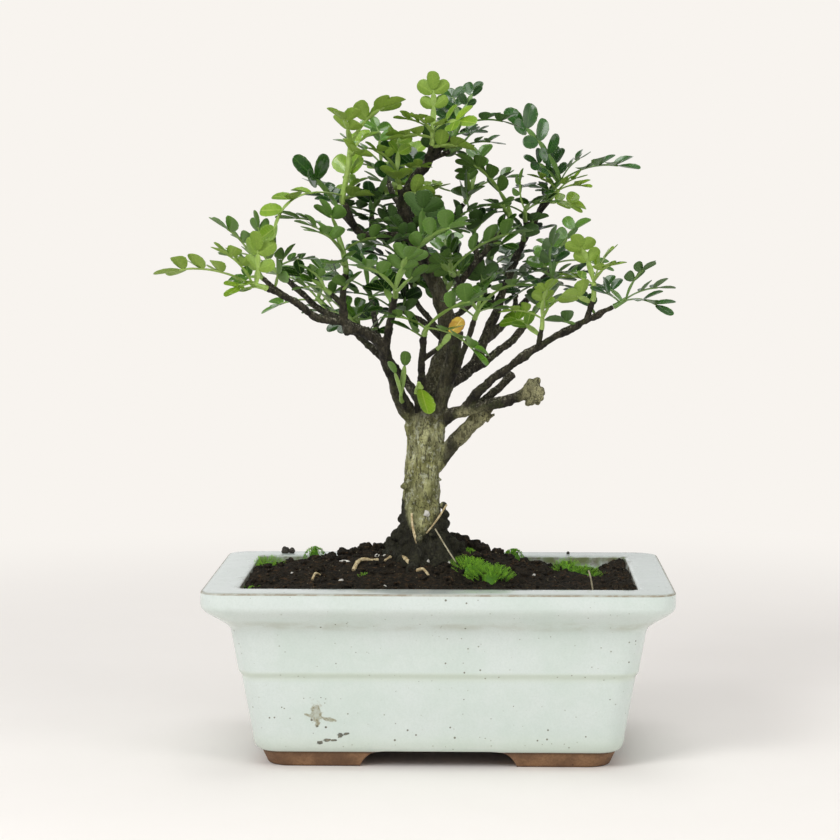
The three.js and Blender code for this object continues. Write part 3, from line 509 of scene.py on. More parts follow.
# %% The outline of the pot, from its foot over the rim and into the opening
def pot_outline():
    """(height, inset, corner radius) for each ring of the pot."""
    foot_edge = 0.35
    knee = 11.5
    foot = [(0.0, FOOT_INSET + FOOT_TAPER + foot_edge), (foot_edge, FOOT_INSET + FOOT_TAPER),
            (FOOT_HEIGHT - 0.3, FOOT_INSET + 0.15)]
    glaze_lip = FOOT_INSET - 0.25
    knee_rings = [(FOOT_HEIGHT, glaze_lip)]
    for step in range(1, 7):
        turn = step / 6 * math.pi / 2
        knee_rings.append((FOOT_HEIGHT + (knee - FOOT_HEIGHT) * (1 - math.cos(turn)),
                           glaze_lip - (glaze_lip - wall_inset(knee)) * math.sin(turn)))
    wall = [(z, wall_inset(z)) for z in np.arange(14.0, STEP_HEIGHT - 2.2, 3.0)]
    wall += [(z, wall_inset(z)) for z in np.linspace(STEP_HEIGHT - 1.5, STEP_HEIGHT + 1.5, 9)]
    wall += [(z, wall_inset(z)) for z in np.arange(STEP_HEIGHT + 3.0, COVE_FOOT - 1.0, 3.0)]
    cove = [(z, wall_inset(z)) for z in np.linspace(COVE_FOOT, COVE_TOP, 13)]
    lip = [(POT_HEIGHT - 2.6, 0.0)]
    for turn in np.linspace(0, math.pi / 2, 5):
        lip.append((POT_HEIGHT - RIM_ROUND * (1 - math.sin(turn)), RIM_ROUND * (1 - math.cos(turn))))
    top = [(POT_HEIGHT, share * RIM_LEDGE) for share in (0.3, 0.6, 0.88)]
    mouth = [(POT_HEIGHT - 0.12, RIM_LEDGE - 0.5), (POT_HEIGHT - 0.45, RIM_LEDGE - 0.1)]
    mouth += [(z, cavity_inset(z)) for z in (61.0, 58.0, POT_HEIGHT - COVE_HEIGHT, 30.0, FLOOR_TOP)]
    outside = [(z, inset, OUTSIDE_RADIUS) for z, inset in foot + knee_rings + wall + cove + lip + top[:1]]
    turning = [(top[1][0], top[1][1], 6.0), (top[2][0], top[2][1], 3.6)]
    return outside + turning + [(z, inset, OPENING_RADIUS) for z, inset in mouth]


pot_profile = pot_outline()
print("rings in the pot:", len(pot_profile))

# %% [markdown]
# The glaze is a thick pale celadon. Three things make it look fired. Its colour drifts, greener where it
# pooled. Bubbles burst and left pin holes. And it ran off the outer edge of the rim, so a thin tan line
# of clay shows there. The left front has this pot's own flaws: a brown blotch with streaks, and raised
# dark crumbs near the foot. Each is an ellipse with a ragged edge, so one node group draws them all.

# %% One ragged blot on the front wall, as a node group
def blot_group():
    group, given, out = new_group(
        "blot",
        [("Across", FLOAT, 0.0), ("Up", FLOAT, 0.0), ("Half Width", FLOAT, 3.0), ("Half Height", FLOAT, 1.0),
         ("Turn", FLOAT, 0.0), ("Ragged", FLOAT, 0.5)],
        [("Mask", FLOAT), ("Distance", FLOAT)])
    place = axes(group)
    x = minus(place[0], given["Across"])
    z = minus(place[2], given["Up"])
    cosine = maths("COSINE", given["Turn"])
    sine = maths("SINE", given["Turn"])
    along = plus(times(x, cosine), times(z, sine))
    aside = minus(times(z, cosine), times(x, sine))
    along = maths("DIVIDE", along, given["Half Width"])
    aside = maths("DIVIDE", aside, given["Half Height"])
    square = plus(times(along, along), times(aside, aside))
    edge = mottle(group, 1.1, 3, 0.2, 0.8)
    wobble = times(minus(edge, 0.5), given["Ragged"])
    distance = plus(maths("SQRT", square), wobble)
    front = maths("LESS_THAN", place[1], 0)
    feed(out["Mask"], times(span(distance, 1, 0.7), front))
    feed(out["Distance"], distance)
    return group


BLOT = blot_group()

# %% Where the flaws of this pot are
# Each blot is its place across and up, half its width and height, its turn, and how ragged its edge is
BLOTCH = (-41.6, 19.4, 2.3, 3.4, 0.1, 0.6)
BLOTCH_CROWN = (-41.6, 22.4, 2.1, 2.3, 0.0, 0.9)
STREAKS = [(-41.2, 16.2, 0.9, 2.0, -0.1, 0.5), (-37.2, 17.5, 3.1, 0.85, -0.2, 0.7),
           (-44.3, 18.9, 1.9, 0.5, -0.45, 0.8)]
DOTS = [(x, z, 0.5, 0.45, 0.0, 0.4) for x, z in ((-38.3, 14.8), (-41.2, 15.1), (-43.1, 17.3))]
CRUMBS = [(-40.4, 9.3, 1.3, 0.7, 0.1, 0.6), (-38, 10.2, 1.6, 0.6, 0.1, 0.6),
          (-35.8, 10.1, 1.1, 0.5, 0, 0.6), (-33.3, 11.9, 1.3, 0.95, 0.1, 0.6),
          (-31.4, 12.4, 1.2, 0.5, 0.2, 0.6)]


def blot(tree, across, up, half_width, half_height, turn, ragged):
    return use(tree, BLOT, Across=across, Up=up, Half_Width=half_width, Half_Height=half_height, Turn=turn,
               Ragged=ragged)


def blots(tree, rows):
    """Where any of several blots is."""
    return most(*[blot(tree, *row)["Mask"] for row in rows])


def with_flaws(tree, colour):
    """The colour with the brown blotch and the dark crumbs, and the masks of both."""
    veil = mottle(tree, 1.2, 4, 0.42, 0.66)
    drop = blot(tree, *BLOTCH)
    ring = span(drop["Distance"], 0.35, 0.85)
    stain = times(drop["Mask"], between(ring, 0.6, 1), between(veil, 0.65, 1))
    faint = times(blot(tree, *BLOTCH_CROWN)["Mask"], veil, 0.4)
    streaks = times(blots(tree, STREAKS), between(veil, 0.55, 0.85))
    stain = most(stain, faint, streaks)
    colour = paint(colour, (128, 118, 76), stain)
    crumbs = blots(tree, CRUMBS)
    dark = most(blots(tree, DOTS), crumbs)
    colour = blend(times(dark, 0.9), colour, blend(veil, tone(62, 60, 44), tone(112, 104, 82)))
    return colour, stain, crumbs

# %% [markdown]
# The clean glaze comes first: its drift, the greener pools at the foot, a greener band along the belt that
# is partly pooled glaze and partly painted shade under its step, and a faint brown smear under the cove
# that is partly painted shade. The pin holes lie in loose clusters, with a few darker spots.

# %% Clean glaze and its pin holes
def clean_glaze(tree, up, cloud):
    pooled = mottle(tree, 24, 3, 0.35, 0.68)
    colour = blend(pooled, tone(212, 221, 217), tone(205, 217, 210))
    colour = paint(colour, (219, 226, 222), cloud, 0.3)
    colour = paint(colour, (188, 200, 191), mottle(tree, 0.7, 2, 0.3, 0.8), 0.25)
    low_wall = span(up, 15, 6.5)
    # A greener band along the belt: partly glaze that pooled in its step, partly painted shade under the step
    belt_pool_and_painted_shade = times(span(up, STEP_HEIGHT - 3, STEP_HEIGHT),
                       span(up, STEP_HEIGHT + 2, STEP_HEIGHT + 0.2))
    colour = paint(colour, (196, 207, 186), most(times(low_wall, 0.35), times(belt_pool_and_painted_shade, 0.5)))
    # Painted shade under the cove, with a faint brown smear in it
    cove_smear_and_painted_shade = times(span(up, 53.5, 51.5), span(up, 48.5, 50.5))
    streaky_mottle = mottle(tree, 5, 5, 0.4, 0.66, (0.35, 0.35, 1))
    return paint(colour, (160, 158, 130), times(cove_smear_and_painted_shade, streaky_mottle), 0.32)


def with_pin_holes(tree, colour):
    """The colour with its pin holes and dark spots, and the mask of the holes."""
    clustered = mottle(tree, 16, 3, 0.38, 0.6)
    holes = times(specks(tree, 2.2, 0.13, 0.7), between(clustered, 0.15, 1))
    colour = paint(colour, (128, 130, 106), holes, 0.7)
    return paint(colour, (88, 84, 62), specks(tree, 4, 0.09, 0.75), 0.85), holes

# %% [markdown]
# A pot in use is dirtiest where it meets the soil. Watering splashes mud on the rim next to the bed, more
# of it on the far side, crumbs dry on the rim, and the inside of the wall is brown with a green film.
# Masks say where: the point's distance in from the rim's edge, and whether it lies in the opening. The
# whole top of the rim also gets a painted shade, a little greyer than the wall.

# %% The worn edge, the marks of the soil and the painted shade on the rim
def worn_edge(tree, up, inset):
    """Where the glaze ran off the outer edge of the rim."""
    on_edge = times(span(up, POT_HEIGHT - 0.85, POT_HEIGHT - 0.45), span(inset, 1.15, 0.5))
    return times(on_edge, between(mottle(tree, 3.2, 5, 0.36, 0.6), 0.55, 0.95))


def with_soil_marks_and_rim_shade(tree, colour, place, inset):
    """The colour with the marks that soil left and a painted shade on the rim's top, and where the soil marks
    make the glaze dull.
    """
    on_rim = span(place[2], POT_HEIGHT - 0.5, POT_HEIGHT - 0.1)
    near_soil = times(span(inset, 7.5, RIM_LEDGE + 0.4), on_rim)
    far_side = span(place[1], 10, 44)
    grime = times(near_soil, mottle(tree, 2.4, 7, 0.46, 0.72), between(far_side, 0.5, 0.95))
    crumb_dust = times(specks(tree, 2.2, 0.12, 0.35), on_rim, between(near_soil, 0.35, 1))
    colour = paint(colour, (112, 101, 78), grime)
    # Painted shade: the whole top of the rim is a little greyer
    colour = paint(colour, (205, 211, 206), on_rim, 0.3)
    colour = paint(colour, (58, 48, 36), crumb_dust)
    inside = marked(tree, "opening")
    dirt = times(inside, between(mottle(tree, 4, 7, 0.35, 0.6), 0.35, 0.9))
    film = times(inside, mottle(tree, 5, 5, 0.4, 0.6), far_side)
    colour = paint(colour, (104, 92, 70), dirt)
    colour = paint(colour, (104, 122, 60), film, 0.75)
    return colour, most(grime, times(inside, 0.8))


def glaze_material():
    made, tree, shader = new_material("celadon_glaze")
    place = axes(tree)
    inset = marked(tree, "inset")
    cloud = mottle(tree, 5, 6, 0.3, 0.75)
    colour, holes = with_pin_holes(tree, clean_glaze(tree, place[2], cloud))
    colour, stain, crumbs = with_flaws(tree, colour)
    worn = worn_edge(tree, place[2], inset)
    colour = paint(colour, (134, 120, 94), worn)
    colour, soiled = with_soil_marks_and_rim_shade(tree, colour, place, inset)
    dull = most(stain, worn, soiled)
    shader["Coat Roughness"].default_value = 0.08
    feed(shader["Coat Weight"], between(dull, 0.35, 0))
    orange_peel = mottle(tree, 2.2, 2, 0.2, 0.8)
    height = plus(minus(times(orange_peel, 0.12), holes), times(crumbs, 2.5))
    finish(shader, colour, plus(between(cloud, 0.16, 0.26), times(dull, 0.35)), height, 0.12)
    return made

# %% [markdown]
# The feet and the underside stand bare, because glaze would fuse the pot to the kiln's shelf. The clay
# fired to a warm brown, darker in a line where the glaze ends and at the edge that it stands on.

# %% Bare clay
def clay_material():
    made, tree, shader = new_material("bare_clay")
    patch = mottle(tree, 9, 6, 0.32, 0.7)
    grain = mottle(tree, 0.8, 4, 0.3, 0.75)
    place = axes(tree)
    colour = blend(patch, tone(118, 86, 60), tone(162, 124, 90))
    colour = paint(colour, (88, 62, 42), grain, 0.4)
    # Darker along the line where the glaze ends and along the bottom edge
    darker_bands = most(span(place[2], FOOT_HEIGHT - 1.1, FOOT_HEIGHT - 0.1), span(place[2], 0.9, 0.1))
    colour = paint(colour, (70, 50, 34), darker_bands, 0.7)
    pits = specks(tree, 2.4, 0.12, 0.25)
    colour = paint(colour, (44, 32, 24), pits, 0.7)
    height = minus(times(grain, 0.5), pits)
    finish(shader, colour, between(patch, 0.72, 0.88), height, 0.15)
    return made

# %% Cutting the feet, the hollow underneath and the drain holes
GAP_HALF_FRONT = 27.0
GAP_HALF_SIDE = 16.0
GAP_CURVE = 9.0
GAP_HEIGHT = FLOOR_UNDERSIDE - 1.0


def gap_cutter(half_width, length, turned):
    """A long bar with a low arched outline, which cuts the gap between two feet."""
    crown = half_width - GAP_CURVE
    side = []
    for t in np.linspace(0, 1, 9):
        across = (1 - t) ** 2 * half_width + 2 * t * (1 - t) * (half_width - 2.0) + t * t * crown
        side.append((across, (1 - (1 - t) ** 2) * GAP_HEIGHT))
    outline = [(half_width, -1.0)] + side + [(-x, z) for x, z in reversed(side)] + [(-half_width, -1.0)]
    ends = [[(end, x, z) if turned else (x, end, z) for x, z in outline]
            for end in (-length / 2, length / 2)]
    return raw_piece("cutter", *loft([np.array(end) for end in ends]))


def hollow_cutter():
    inset = FOOT_INSET + FOOT_TAPER + FOOT_WIDTH
    return raw_piece("cutter", *loft([pot_ring(-1.0, inset, 4.0), pot_ring(FLOOR_UNDERSIDE, inset, 4.0)]))


def drain_cutter(side):
    turns = [math.tau * step / 40 for step in range(40)]
    ring = [(side * DRAIN_SPACING / 2 + DRAIN_HOLE / 2 * math.cos(turn), DRAIN_HOLE / 2 * math.sin(turn))
            for turn in turns]
    ends = [np.array([(x, y, z) for x, y in ring]) for z in (2.0, FLOOR_TOP + 2.0)]
    return raw_piece("cutter", *loft(ends))

# %% Building the pot
def carve(piece, cutter):
    if volume_of(cutter.data) < 0:
        cutter.data.flip_normals()
    cut = piece.modifiers.new("cut", "BOOLEAN")
    cut.operation = "DIFFERENCE"
    cut.solver = "EXACT"
    cut.object = cutter
    bpy.context.view_layer.objects.active = piece
    bpy.ops.object.modifier_apply(modifier=cut.name)
    bpy.data.objects.remove(cutter)


def volume_of(mesh):
    work = bmesh.new()
    work.from_mesh(mesh)
    volume = work.calc_volume(signed=True)
    work.free()
    return volume


def rim_inset(points):
    """How far in from the rim's outer edge each point stands, seen from above."""
    half = np.array([RIM_WIDTH / 2, RIM_DEPTH / 2]) - OUTSIDE_RADIUS
    past = np.abs(points[:, :2]) - half
    outside = np.linalg.norm(np.maximum(past, 0), axis=1)
    return OUTSIDE_RADIUS - outside - np.minimum(past.max(axis=1), 0)


def build_pot():
    points, faces = loft([pot_ring(z, inset, radius) for z, inset, radius in pot_profile])
    pot = raw_piece("glazed_pot", points, faces, [glaze_material(), clay_material()])
    if volume_of(pot.data) < 0:
        pot.data.flip_normals()
    cutters = [hollow_cutter(), gap_cutter(GAP_HALF_FRONT, RIM_DEPTH, False),
               gap_cutter(GAP_HALF_SIDE, RIM_WIDTH, True), drain_cutter(-1), drain_cutter(1)]
    for cutter in cutters:
        carve(pot, cutter)
    places = places_of(pot.data)
    inset = rim_inset(places)
    mark(pot.data, "inset", inset)
    within = [z > FLOOR_TOP - 0.1 and away > min(cavity_inset(z), RIM_LEDGE + 0.1) - 0.3
              for away, z in zip(inset, places[:, 2])]
    above_wall = places[:, 2] > COVE_TOP
    mark(pot.data, "opening", np.array(within) & (above_wall | (inset > 17.5)))
    for face in pot.data.polygons:
        middle = places[list(face.vertices)].mean(axis=0)
        bare = middle[2] < FOOT_HEIGHT - 0.1 or (middle[2] < FLOOR_TOP - 0.1 and abs(face.normal.z) > 0.9)
        face.material_index = 1 if bare else 0
    outside = places[:, 2] > FOOT_HEIGHT + 1.0
    for i in np.flatnonzero(outside):
        x, y, z = places[i]
        sway = 0.22 * noise.noise(Vector((x / 34, y / 34, z / 22)))
        flat = np.array([x, y, 0]) / max(math.hypot(x, y), 1)
        places[i] += flat * sway
    move_points(pot.data, places)
    dress(pot, ["pot"], crease=38.0)


build_pot()

# %% [markdown]
# The drain meshes are two squares of black plastic netting under the soil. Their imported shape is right,
# so they keep it and only get a material: moulded plastic with a faint grain and a little dried silt.

# %% The drain meshes
def netting_material():
    made, tree, shader = new_material("black_netting")
    silt = mottle(tree, 3, 5, 0.45, 0.7)
    grain = mottle(tree, 0.4, 2, 0.3, 0.7)
    finish(shader, blend(silt, tone(40, 41, 40), tone(84, 72, 56)), between(silt, 0.45, 0.85), grain, 0.05)
    return made


netting = netting_material()
for name in ("drain_mesh_left", "drain_mesh_right"):
    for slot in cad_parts[name].material_slots:
        slot.material = netting

# %% [markdown]
# Potting soil is a heap of crumbs. One smooth surface with a rough texture would look like felt from the
# side, because its outline stays smooth. So the bed is a fine net of points that really rise and fall:
# broad lumps first, then round clods a few millimetres across, then crumbs. Loose crumbs and clods are
# then strewn over it as pieces of their own.

# %% The height of the soil
SOIL_EDGE = 60.4
SOIL_MOUND = 11.0
SOIL_MOUND_MIDDLE = (-8.0, 5.0)
SOIL_MOUND_REACH = (44.0, 26.0)
FIT = 0.35


def soil_height(x, y):
    """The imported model's own soil surface."""
    distance = math.hypot((x - SOIL_MOUND_MIDDLE[0]) / SOIL_MOUND_REACH[0],
                          (y - SOIL_MOUND_MIDDLE[1]) / SOIL_MOUND_REACH[1])
    mound = SOIL_MOUND * math.exp(-distance ** 2)
    corner = 2.2 * (max(x, 0) / (RIM_WIDTH / 2)) ** 2 + 1.4 * max(y, 0) / (RIM_DEPTH / 2)
    crumbs = 0.5 * math.sin(x * 0.31 + y * 0.17) + 0.5 * math.cos(y * 0.37 - x * 0.11)
    return SOIL_EDGE + mound - corner + crumbs


def cell_dome(x, y, size, depth):
    """How near a place is to the middle of its crumb, for a layer of crumbs of one size."""
    nearest = noise.voronoi(Vector((x / size, y / size, depth)))[0][0]
    return 0.5 - nearest


def crumbly_height(x, y):
    """The soil surface with its lumps, clods and crumbs."""
    lumps = 1.5 * noise.noise(Vector((x / 8, y / 8, 3.1)))
    clods = 1.5 * cell_dome(x, y, 3.6, 0.4)
    crumbs = 0.9 * cell_dome(x, y, 1.5, 7.7)
    grit = 0.3 * noise.noise(Vector((x / 0.7, y / 0.7, 5.0)))
    bank = 2.6 * float(eased(x, 56.0, 64.0))
    return soil_height(x, y) + lumps + clods + crumbs + grit + bank


print("soil at the middle and the front edge:", round(soil_height(0, 0), 1), round(soil_height(0, -38), 1))

# %% The bed of soil
BED_INSET = cavity_inset(SOIL_EDGE) + 0.1
BED_HALF = (RIM_WIDTH / 2 - BED_INSET, RIM_DEPTH / 2 - BED_INSET)
BED_STEPS = (232, 134)


def inside_corner(x, y):
    """Pulls a place in a corner of the bed onto the opening's rounded corner."""
    past = np.array([abs(x) - (BED_HALF[0] - OPENING_RADIUS), abs(y) - (BED_HALF[1] - OPENING_RADIUS)])
    reach = np.linalg.norm(past)
    if past.min() <= 0 or reach <= OPENING_RADIUS:
        return x, y
    past = past * OPENING_RADIUS / reach
    return (math.copysign(BED_HALF[0] - OPENING_RADIUS + past[0], x),
            math.copysign(BED_HALF[1] - OPENING_RADIUS + past[1], y))


def soil_material():
    made, tree, shader = new_material("dark_soil")
    damp = mottle(tree, 9, 5, 0.35, 0.65)
    crumb = mottle(tree, 1.1, 6, 0.35, 0.7)
    fibre = mottle(tree, 0.9, 3, 0.56, 0.68, (0.35, 1, 1))
    grit = specks(tree, 1.3, 0.2, 0.3)
    colour = blend(damp, tone(11, 10, 7), tone(26, 22, 15))
    colour = paint(colour, (70, 60, 43), crumb, 0.42)
    colour = paint(colour, (100, 74, 48), fibre, 0.5)
    colour = paint(colour, (126, 120, 94), grit, 0.8)
    shader["Specular IOR Level"].default_value = 0.25
    finish(shader, colour, between(damp, 0.8, 0.95), crumb, 0.35)
    return made


SOIL_FINISH = soil_material()


def build_bed():
    columns, rows = BED_STEPS
    points = []
    for row in range(rows + 1):
        for column in range(columns + 1):
            x, y = inside_corner(BED_HALF[0] * (2 * column / columns - 1), BED_HALF[1] * (2 * row / rows - 1))
            points.append((x, y, crumbly_height(x, y)))
    faces = []
    for row in range(rows):
        for column in range(columns):
            a = row * (columns + 1) + column
            faces.append((a, a + 1, a + columns + 2, a + columns + 1))
    edge = list(range(columns + 1))
    edge += [row * (columns + 1) + columns for row in range(1, rows + 1)]
    edge += [rows * (columns + 1) + column for column in range(columns - 1, -1, -1)]
    edge += [row * (columns + 1) for row in range(rows - 1, 0, -1)]
    floor = FLOOR_TOP + FIT
    shrink = (RIM_WIDTH / 2 - cavity_inset(floor) - FIT) / BED_HALF[0]
    start = len(points)
    points += [(points[i][0] * shrink, points[i][1] * shrink, floor) for i in edge]
    count = len(edge)
    for i in range(count):
        j = (i + 1) % count
        faces.append((edge[i], start + i, start + j, edge[j]))
    faces.append(tuple(range(start, start + count)))
    bed = raw_piece("soil_bed", points, faces, [SOIL_FINISH])
    dress(bed, ["soil"], crease=70.0)


build_bed()

# %% [markdown]
# The loose crumbs come from one small recipe: a ball of few faces, squeezed and dented at random. The
# random numbers are seeded, so the same crumbs fall in the same places on every run. The large clods by
# the trunk are listed one by one, because they show against the wall in the picture.

# %% Loose crumbs and clods
CRUMB_COUNT = 1500
CLODS = [(6, 9, 71.6, 4.6), (11.4, 11, 70.4, 3.4), (14.8, 8, 69.8, 3), (20.2, 8.5, 67.9, 2.7),
         (24.5, 10, 66.4, 2), (1.5, 13, 71.2, 3.4), (-18, 9, 71, 2.4), (-22.5, 8, 70.4, 2.3),
         (-26.5, 9, 69.8, 2.6), (-30.5, 7, 68.9, 2.2), (-34.5, 9, 68, 2.4), (-39, 8, 66.9, 2),
         (-12, 13, 70.6, 2.8), (9, -6, 68.6, 2.6), (-16, -5, 69.2, 2.2), (12.5, -1, 68.6, 2.3),
         (30, 12, 65, 1.8), (-45, 12, 65.6, 1.9), (17, 3, 67.6, 2.1), (-24, -3, 68, 1.9)]


def ball(fineness):
    """Points and faces of a ball of radius 1 made of triangles."""
    work = bmesh.new()
    bmesh.ops.create_icosphere(work, subdivisions=fineness, radius=1.0)
    points = np.array([tuple(corner.co) for corner in work.verts])
    faces = [tuple(corner.index for corner in face.verts) for face in work.faces]
    work.free()
    return points, faces


def dented(points, roughness, size, seed):
    """A ball's points pushed in and out by noise."""
    shifted = [1 + roughness * noise.noise(Vector(point) / size + Vector((seed, 0, 0))) for point in points]
    return points * np.array(shifted)[:, None]


class Heap:
    """Many small closed shapes gathered into the points and faces of one piece."""

    def __init__(self):
        self.points = []
        self.faces = []
        self.looks = []
        self.count = 0

    def put(self, points, faces, look=0):
        self.points.append(np.asarray(points, dtype=float))
        self.faces += [tuple(corner + self.count for corner in face) for face in faces]
        self.looks += [look] * len(faces)
        self.count += len(points)

    def piece(self, name, materials):
        made = raw_piece(name, np.concatenate(self.points), self.faces, materials)
        made.data.polygons.foreach_set("material_index", self.looks)
        return made


def build_crumbs():
    draw = random.Random(11)
    fine, coarse, clod = ball(2), ball(1), ball(4)
    heap = Heap()
    for i in range(CRUMB_COUNT):
        x = draw.uniform(-1, 1) * (BED_HALF[0] - 1.5)
        y = draw.uniform(-1, 1) * (BED_HALF[1] - 1.5)
        radius = 0.35 + 1.0 * draw.random() ** 3
        stretch = np.array([draw.uniform(0.8, 1.25), draw.uniform(0.8, 1.25), draw.uniform(0.6, 0.95)])
        points, faces = fine if radius > 0.75 else coarse
        shape = dented(points, 0.7, 0.8, i * 3.7) * stretch * radius
        heap.put(shape + [x, y, crumbly_height(x, y) + 0.25 * radius], faces)
    for i, (x, y, z, radius) in enumerate(CLODS):
        points, faces = clod
        shape = dented(points, 0.45, 0.7, 40 + i * 5.3)
        domes = np.array([0.05 * cell_dome(px * 3, py * 3, 1.0, pz * 3) for px, py, pz in points])
        bumps = np.array([0.16 * noise.noise(Vector(p) * 3.4 + Vector((i, 0, 0))) for p in points])
        shape = shape * ((1 + domes) * (1 + bumps))[:, None] * [1.0, 1.0, 0.86] * radius
        heap.put(shape + [x, y, z], faces)
    dress(heap.piece("soil_crumbs", [SOIL_FINISH]), [], crease=55.0)


build_crumbs()

# %% [markdown]
# The wood is one living piece: roots, trunk, limbs and twigs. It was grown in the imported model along
# routes, each a name, a first and a last radius, and the points that its middle passes through. The same
# routes come back here, with more sides, small sways and swellings where old leaves stood. The thick
# limbs are then fused by a voxel remesh, which melts tubes that cross into one skin with soft crotches,
# and the thin twigs start deep inside them.

# %% The routes of the wood
WOOD = [
    ("left", 3.1, 1.6, [(-5, 0, 112), (-13, -3, 123), (-17, -7, 134), (-21, -12, 145), (-34, -18, 153)]),
    ("left_low", 1.5, 1.1, [(-32, -17, 152), (-42, -21, 154), (-50, -26, 160), (-58, -31, 164)]),
    ("left_high", 1.4, 1, [(-34, -18, 153), (-42, -14, 157), (-55, -6, 168)]),
    ("left_twig", 1.5, 1.1, [(-33, -17, 152), (-33, -20, 160), (-32, -22, 169)]),
    ("left_pale", 1.1, 0.9, [(-33, -19, 158), (-37, -22, 162)]),
    ("left_mid", 1.6, 1.1, [(-19, -11, 143), (-17, -16, 152), (-15, -25, 161)]),
    ("left_tip_up", 1.1, 0.9, [(-50, -26, 160), (-55, -23, 163), (-60, -21, 167)]),
    ("front_mid", 1.6, 1.1, [(-4, -1, 118), (-6, -10, 130), (-6, -19, 141), (-5, -25, 148)]),
    ("withered", 1, 0.8, [(-6, -17, 139), (-1, -20, 143)]),
    ("sprout_low", 1.1, 0.9, [(-8, -2, 119), (-8, -10, 127)]),
    ("sprout_thin", 1, 0.8, [(-11, -3, 120), (-13, -9, 124)]),
    ("cut_leader", 3, 2.4, [(-2, -2, 116), (2, -6, 130), (5, -8, 143), (6, -8, 149)]),
    ("cut_stub", 2.3, 3, [(-2, 0, 100), (5, -2, 109), (16, -4, 121)]),
    ("knuckle", 2.5, 1.7, [(-3, 0, 115), (6, -6, 120), (17, -10, 123), (31, -14, 127.5)]),
    ("knuckle_end", 1.4, 1.1, [(27, -12, 126.5), (33, -14, 131.5)]),
    ("right_stub", 1.6, 1.4, [(12, -8, 121.6), (18.5, -6, 127), (25.5, -3, 133.5)]),
    ("right_long", 1.8, 1, [(7, -6.5, 120.3), (17, -12, 131), (34, -20, 144), (48, -26, 152),
        (59, -30, 158)]),
    ("right_mid_lime", 1, 0.9, [(34, -20, 144), (35, -23, 150)]),
    ("right_tip_young", 1.1, 1, [(50, -27, 153), (52, -30, 160)]),
    ("right_up", 2.4, 1.1, [(-1, 4, 128), (10, 11, 134), (17, 16, 148), (27, 22, 174), (37, 20, 194)]),
    ("right_top_tuft", 1, 0.9, [(35, 21, 190), (39, 14, 195)]),
    ("right_top_front", 1.1, 0.9, [(31, 22, 182), (30, 14, 187)]),
    ("right_dark", 1.7, 1, [(8, 9, 132), (24, 18, 143), (32, 24, 152), (39, 26, 162)]),
    ("front_right", 1.3, 1, [(2, -5, 127), (8, -12, 141), (12, -18, 153)]),
    ("leader", 4.3, 1.2, [(-5, 0, 114), (-1, 5, 133), (3, 6, 148), (-4, 2, 170), (-13, -2, 191),
        (-4, -4, 208), (4, -5, 216)]),
    ("mid_right", 1.5, 1, [(1, 5, 156), (9, 2, 168), (22, 7, 184)]),
    ("mid_right_dark", 1.1, 0.9, [(13, 3, 173), (12, 8, 181)]),
    ("mid_right_front", 1.1, 0.9, [(7, 3, 165), (5, -5, 168)]),
    ("core_front", 1.3, 1, [(-4, 2, 168), (-6, -10, 175), (-6, -23, 181)]),
    ("core_right", 1.1, 0.9, [(-8, 1, 178), (-2, -5, 182)]),
    ("inner_left", 1.1, 0.9, [(-4, 3, 167), (-13, 10, 173)]),
    ("inner_low", 1.2, 0.9, [(2, 6, 144), (-6, 10, 151), (-14, 12, 155)]),
    ("inner_right", 1.1, 0.9, [(20, 18, 156), (15, 11, 162)]),
    ("top_left", 1.6, 1.3, [(-9, 0, 181), (-19, -4, 182), (-28, -8, 183), (-33, -12, 193)]),
    ("crown_left_glossy", 1, 0.9, [(-28, -8, 183), (-34, -4, 189)]),
    ("crown_left_side", 1, 0.9, [(-24, -6, 182), (-24, -1, 188)]),
    ("crown_mid", 1.1, 0.9, [(-13, -2, 190), (-14, -6, 198)]),
    ("crown_top", 1.1, 1, [(-5, -4, 206), (-3, -7, 213)]),
    ("crown_right_low", 1, 0.9, [(-4, -4, 208), (3, -1, 211)]),
    ("crown_back", 1.2, 0.9, [(-13, -2, 190), (-17, 7, 197), (-20, 13, 203)]),
    ("back_left", 2, 1.1, [(-4, 2, 117), (-12, 14, 129), (-30, 30, 145), (-42, 36, 155)]),
    ("back_left_up", 1.3, 1, [(-21, 23, 138), (-24, 31, 149), (-26, 36, 158)]),
    ("back_left_in", 1.3, 1, [(-12, 14, 129), (-21, 13, 141), (-30, 12, 150)]),
    ("back_mid", 2, 1.1, [(0, 5, 134), (1, 18, 145), (2, 30, 153), (1, 40, 163)]),
    ("back_mid_right", 1.2, 0.9, [(2, 26, 150), (12, 34, 158), (16, 37, 165)]),
    ("back_mid_left", 1.2, 0.9, [(1, 19, 146), (-8, 26, 156), (-11, 28, 165)]),
    ("back_high", 1.5, 1, [(-4, 2, 170), (-7, 13, 177), (-10, 22, 185), (-11, 27, 194)]),
    ("back_high_right", 1.1, 0.9, [(-8, 15, 179), (2, 20, 186), (8, 21, 193)]),
    ("back_right", 1.7, 1, [(15, 15, 144), (26, 28, 153), (40, 42, 169)]),
    ("back_right_in", 1.2, 0.9, [(25, 27, 152), (27, 38, 156), (26, 45, 161)]),
]

# %% Smooth routes and round wood
def route_at(points, place):
    """A place on a smooth route through the points, which runs from 0 to the last point's number."""
    segment = min(int(place), len(points) - 2)
    t = place - segment
    before = points[segment - 1] if segment > 0 else 2 * points[0] - points[1]
    after = points[segment + 2] if segment + 2 < len(points) else 2 * points[-1] - points[-2]
    return ((-t + 2 * t * t - t ** 3) / 2 * before + (2 - 5 * t * t + 3 * t ** 3) / 2 * points[segment]
            + (t + 4 * t * t - 3 * t ** 3) / 2 * points[segment + 1] + (-t * t + t ** 3) / 2 * after)


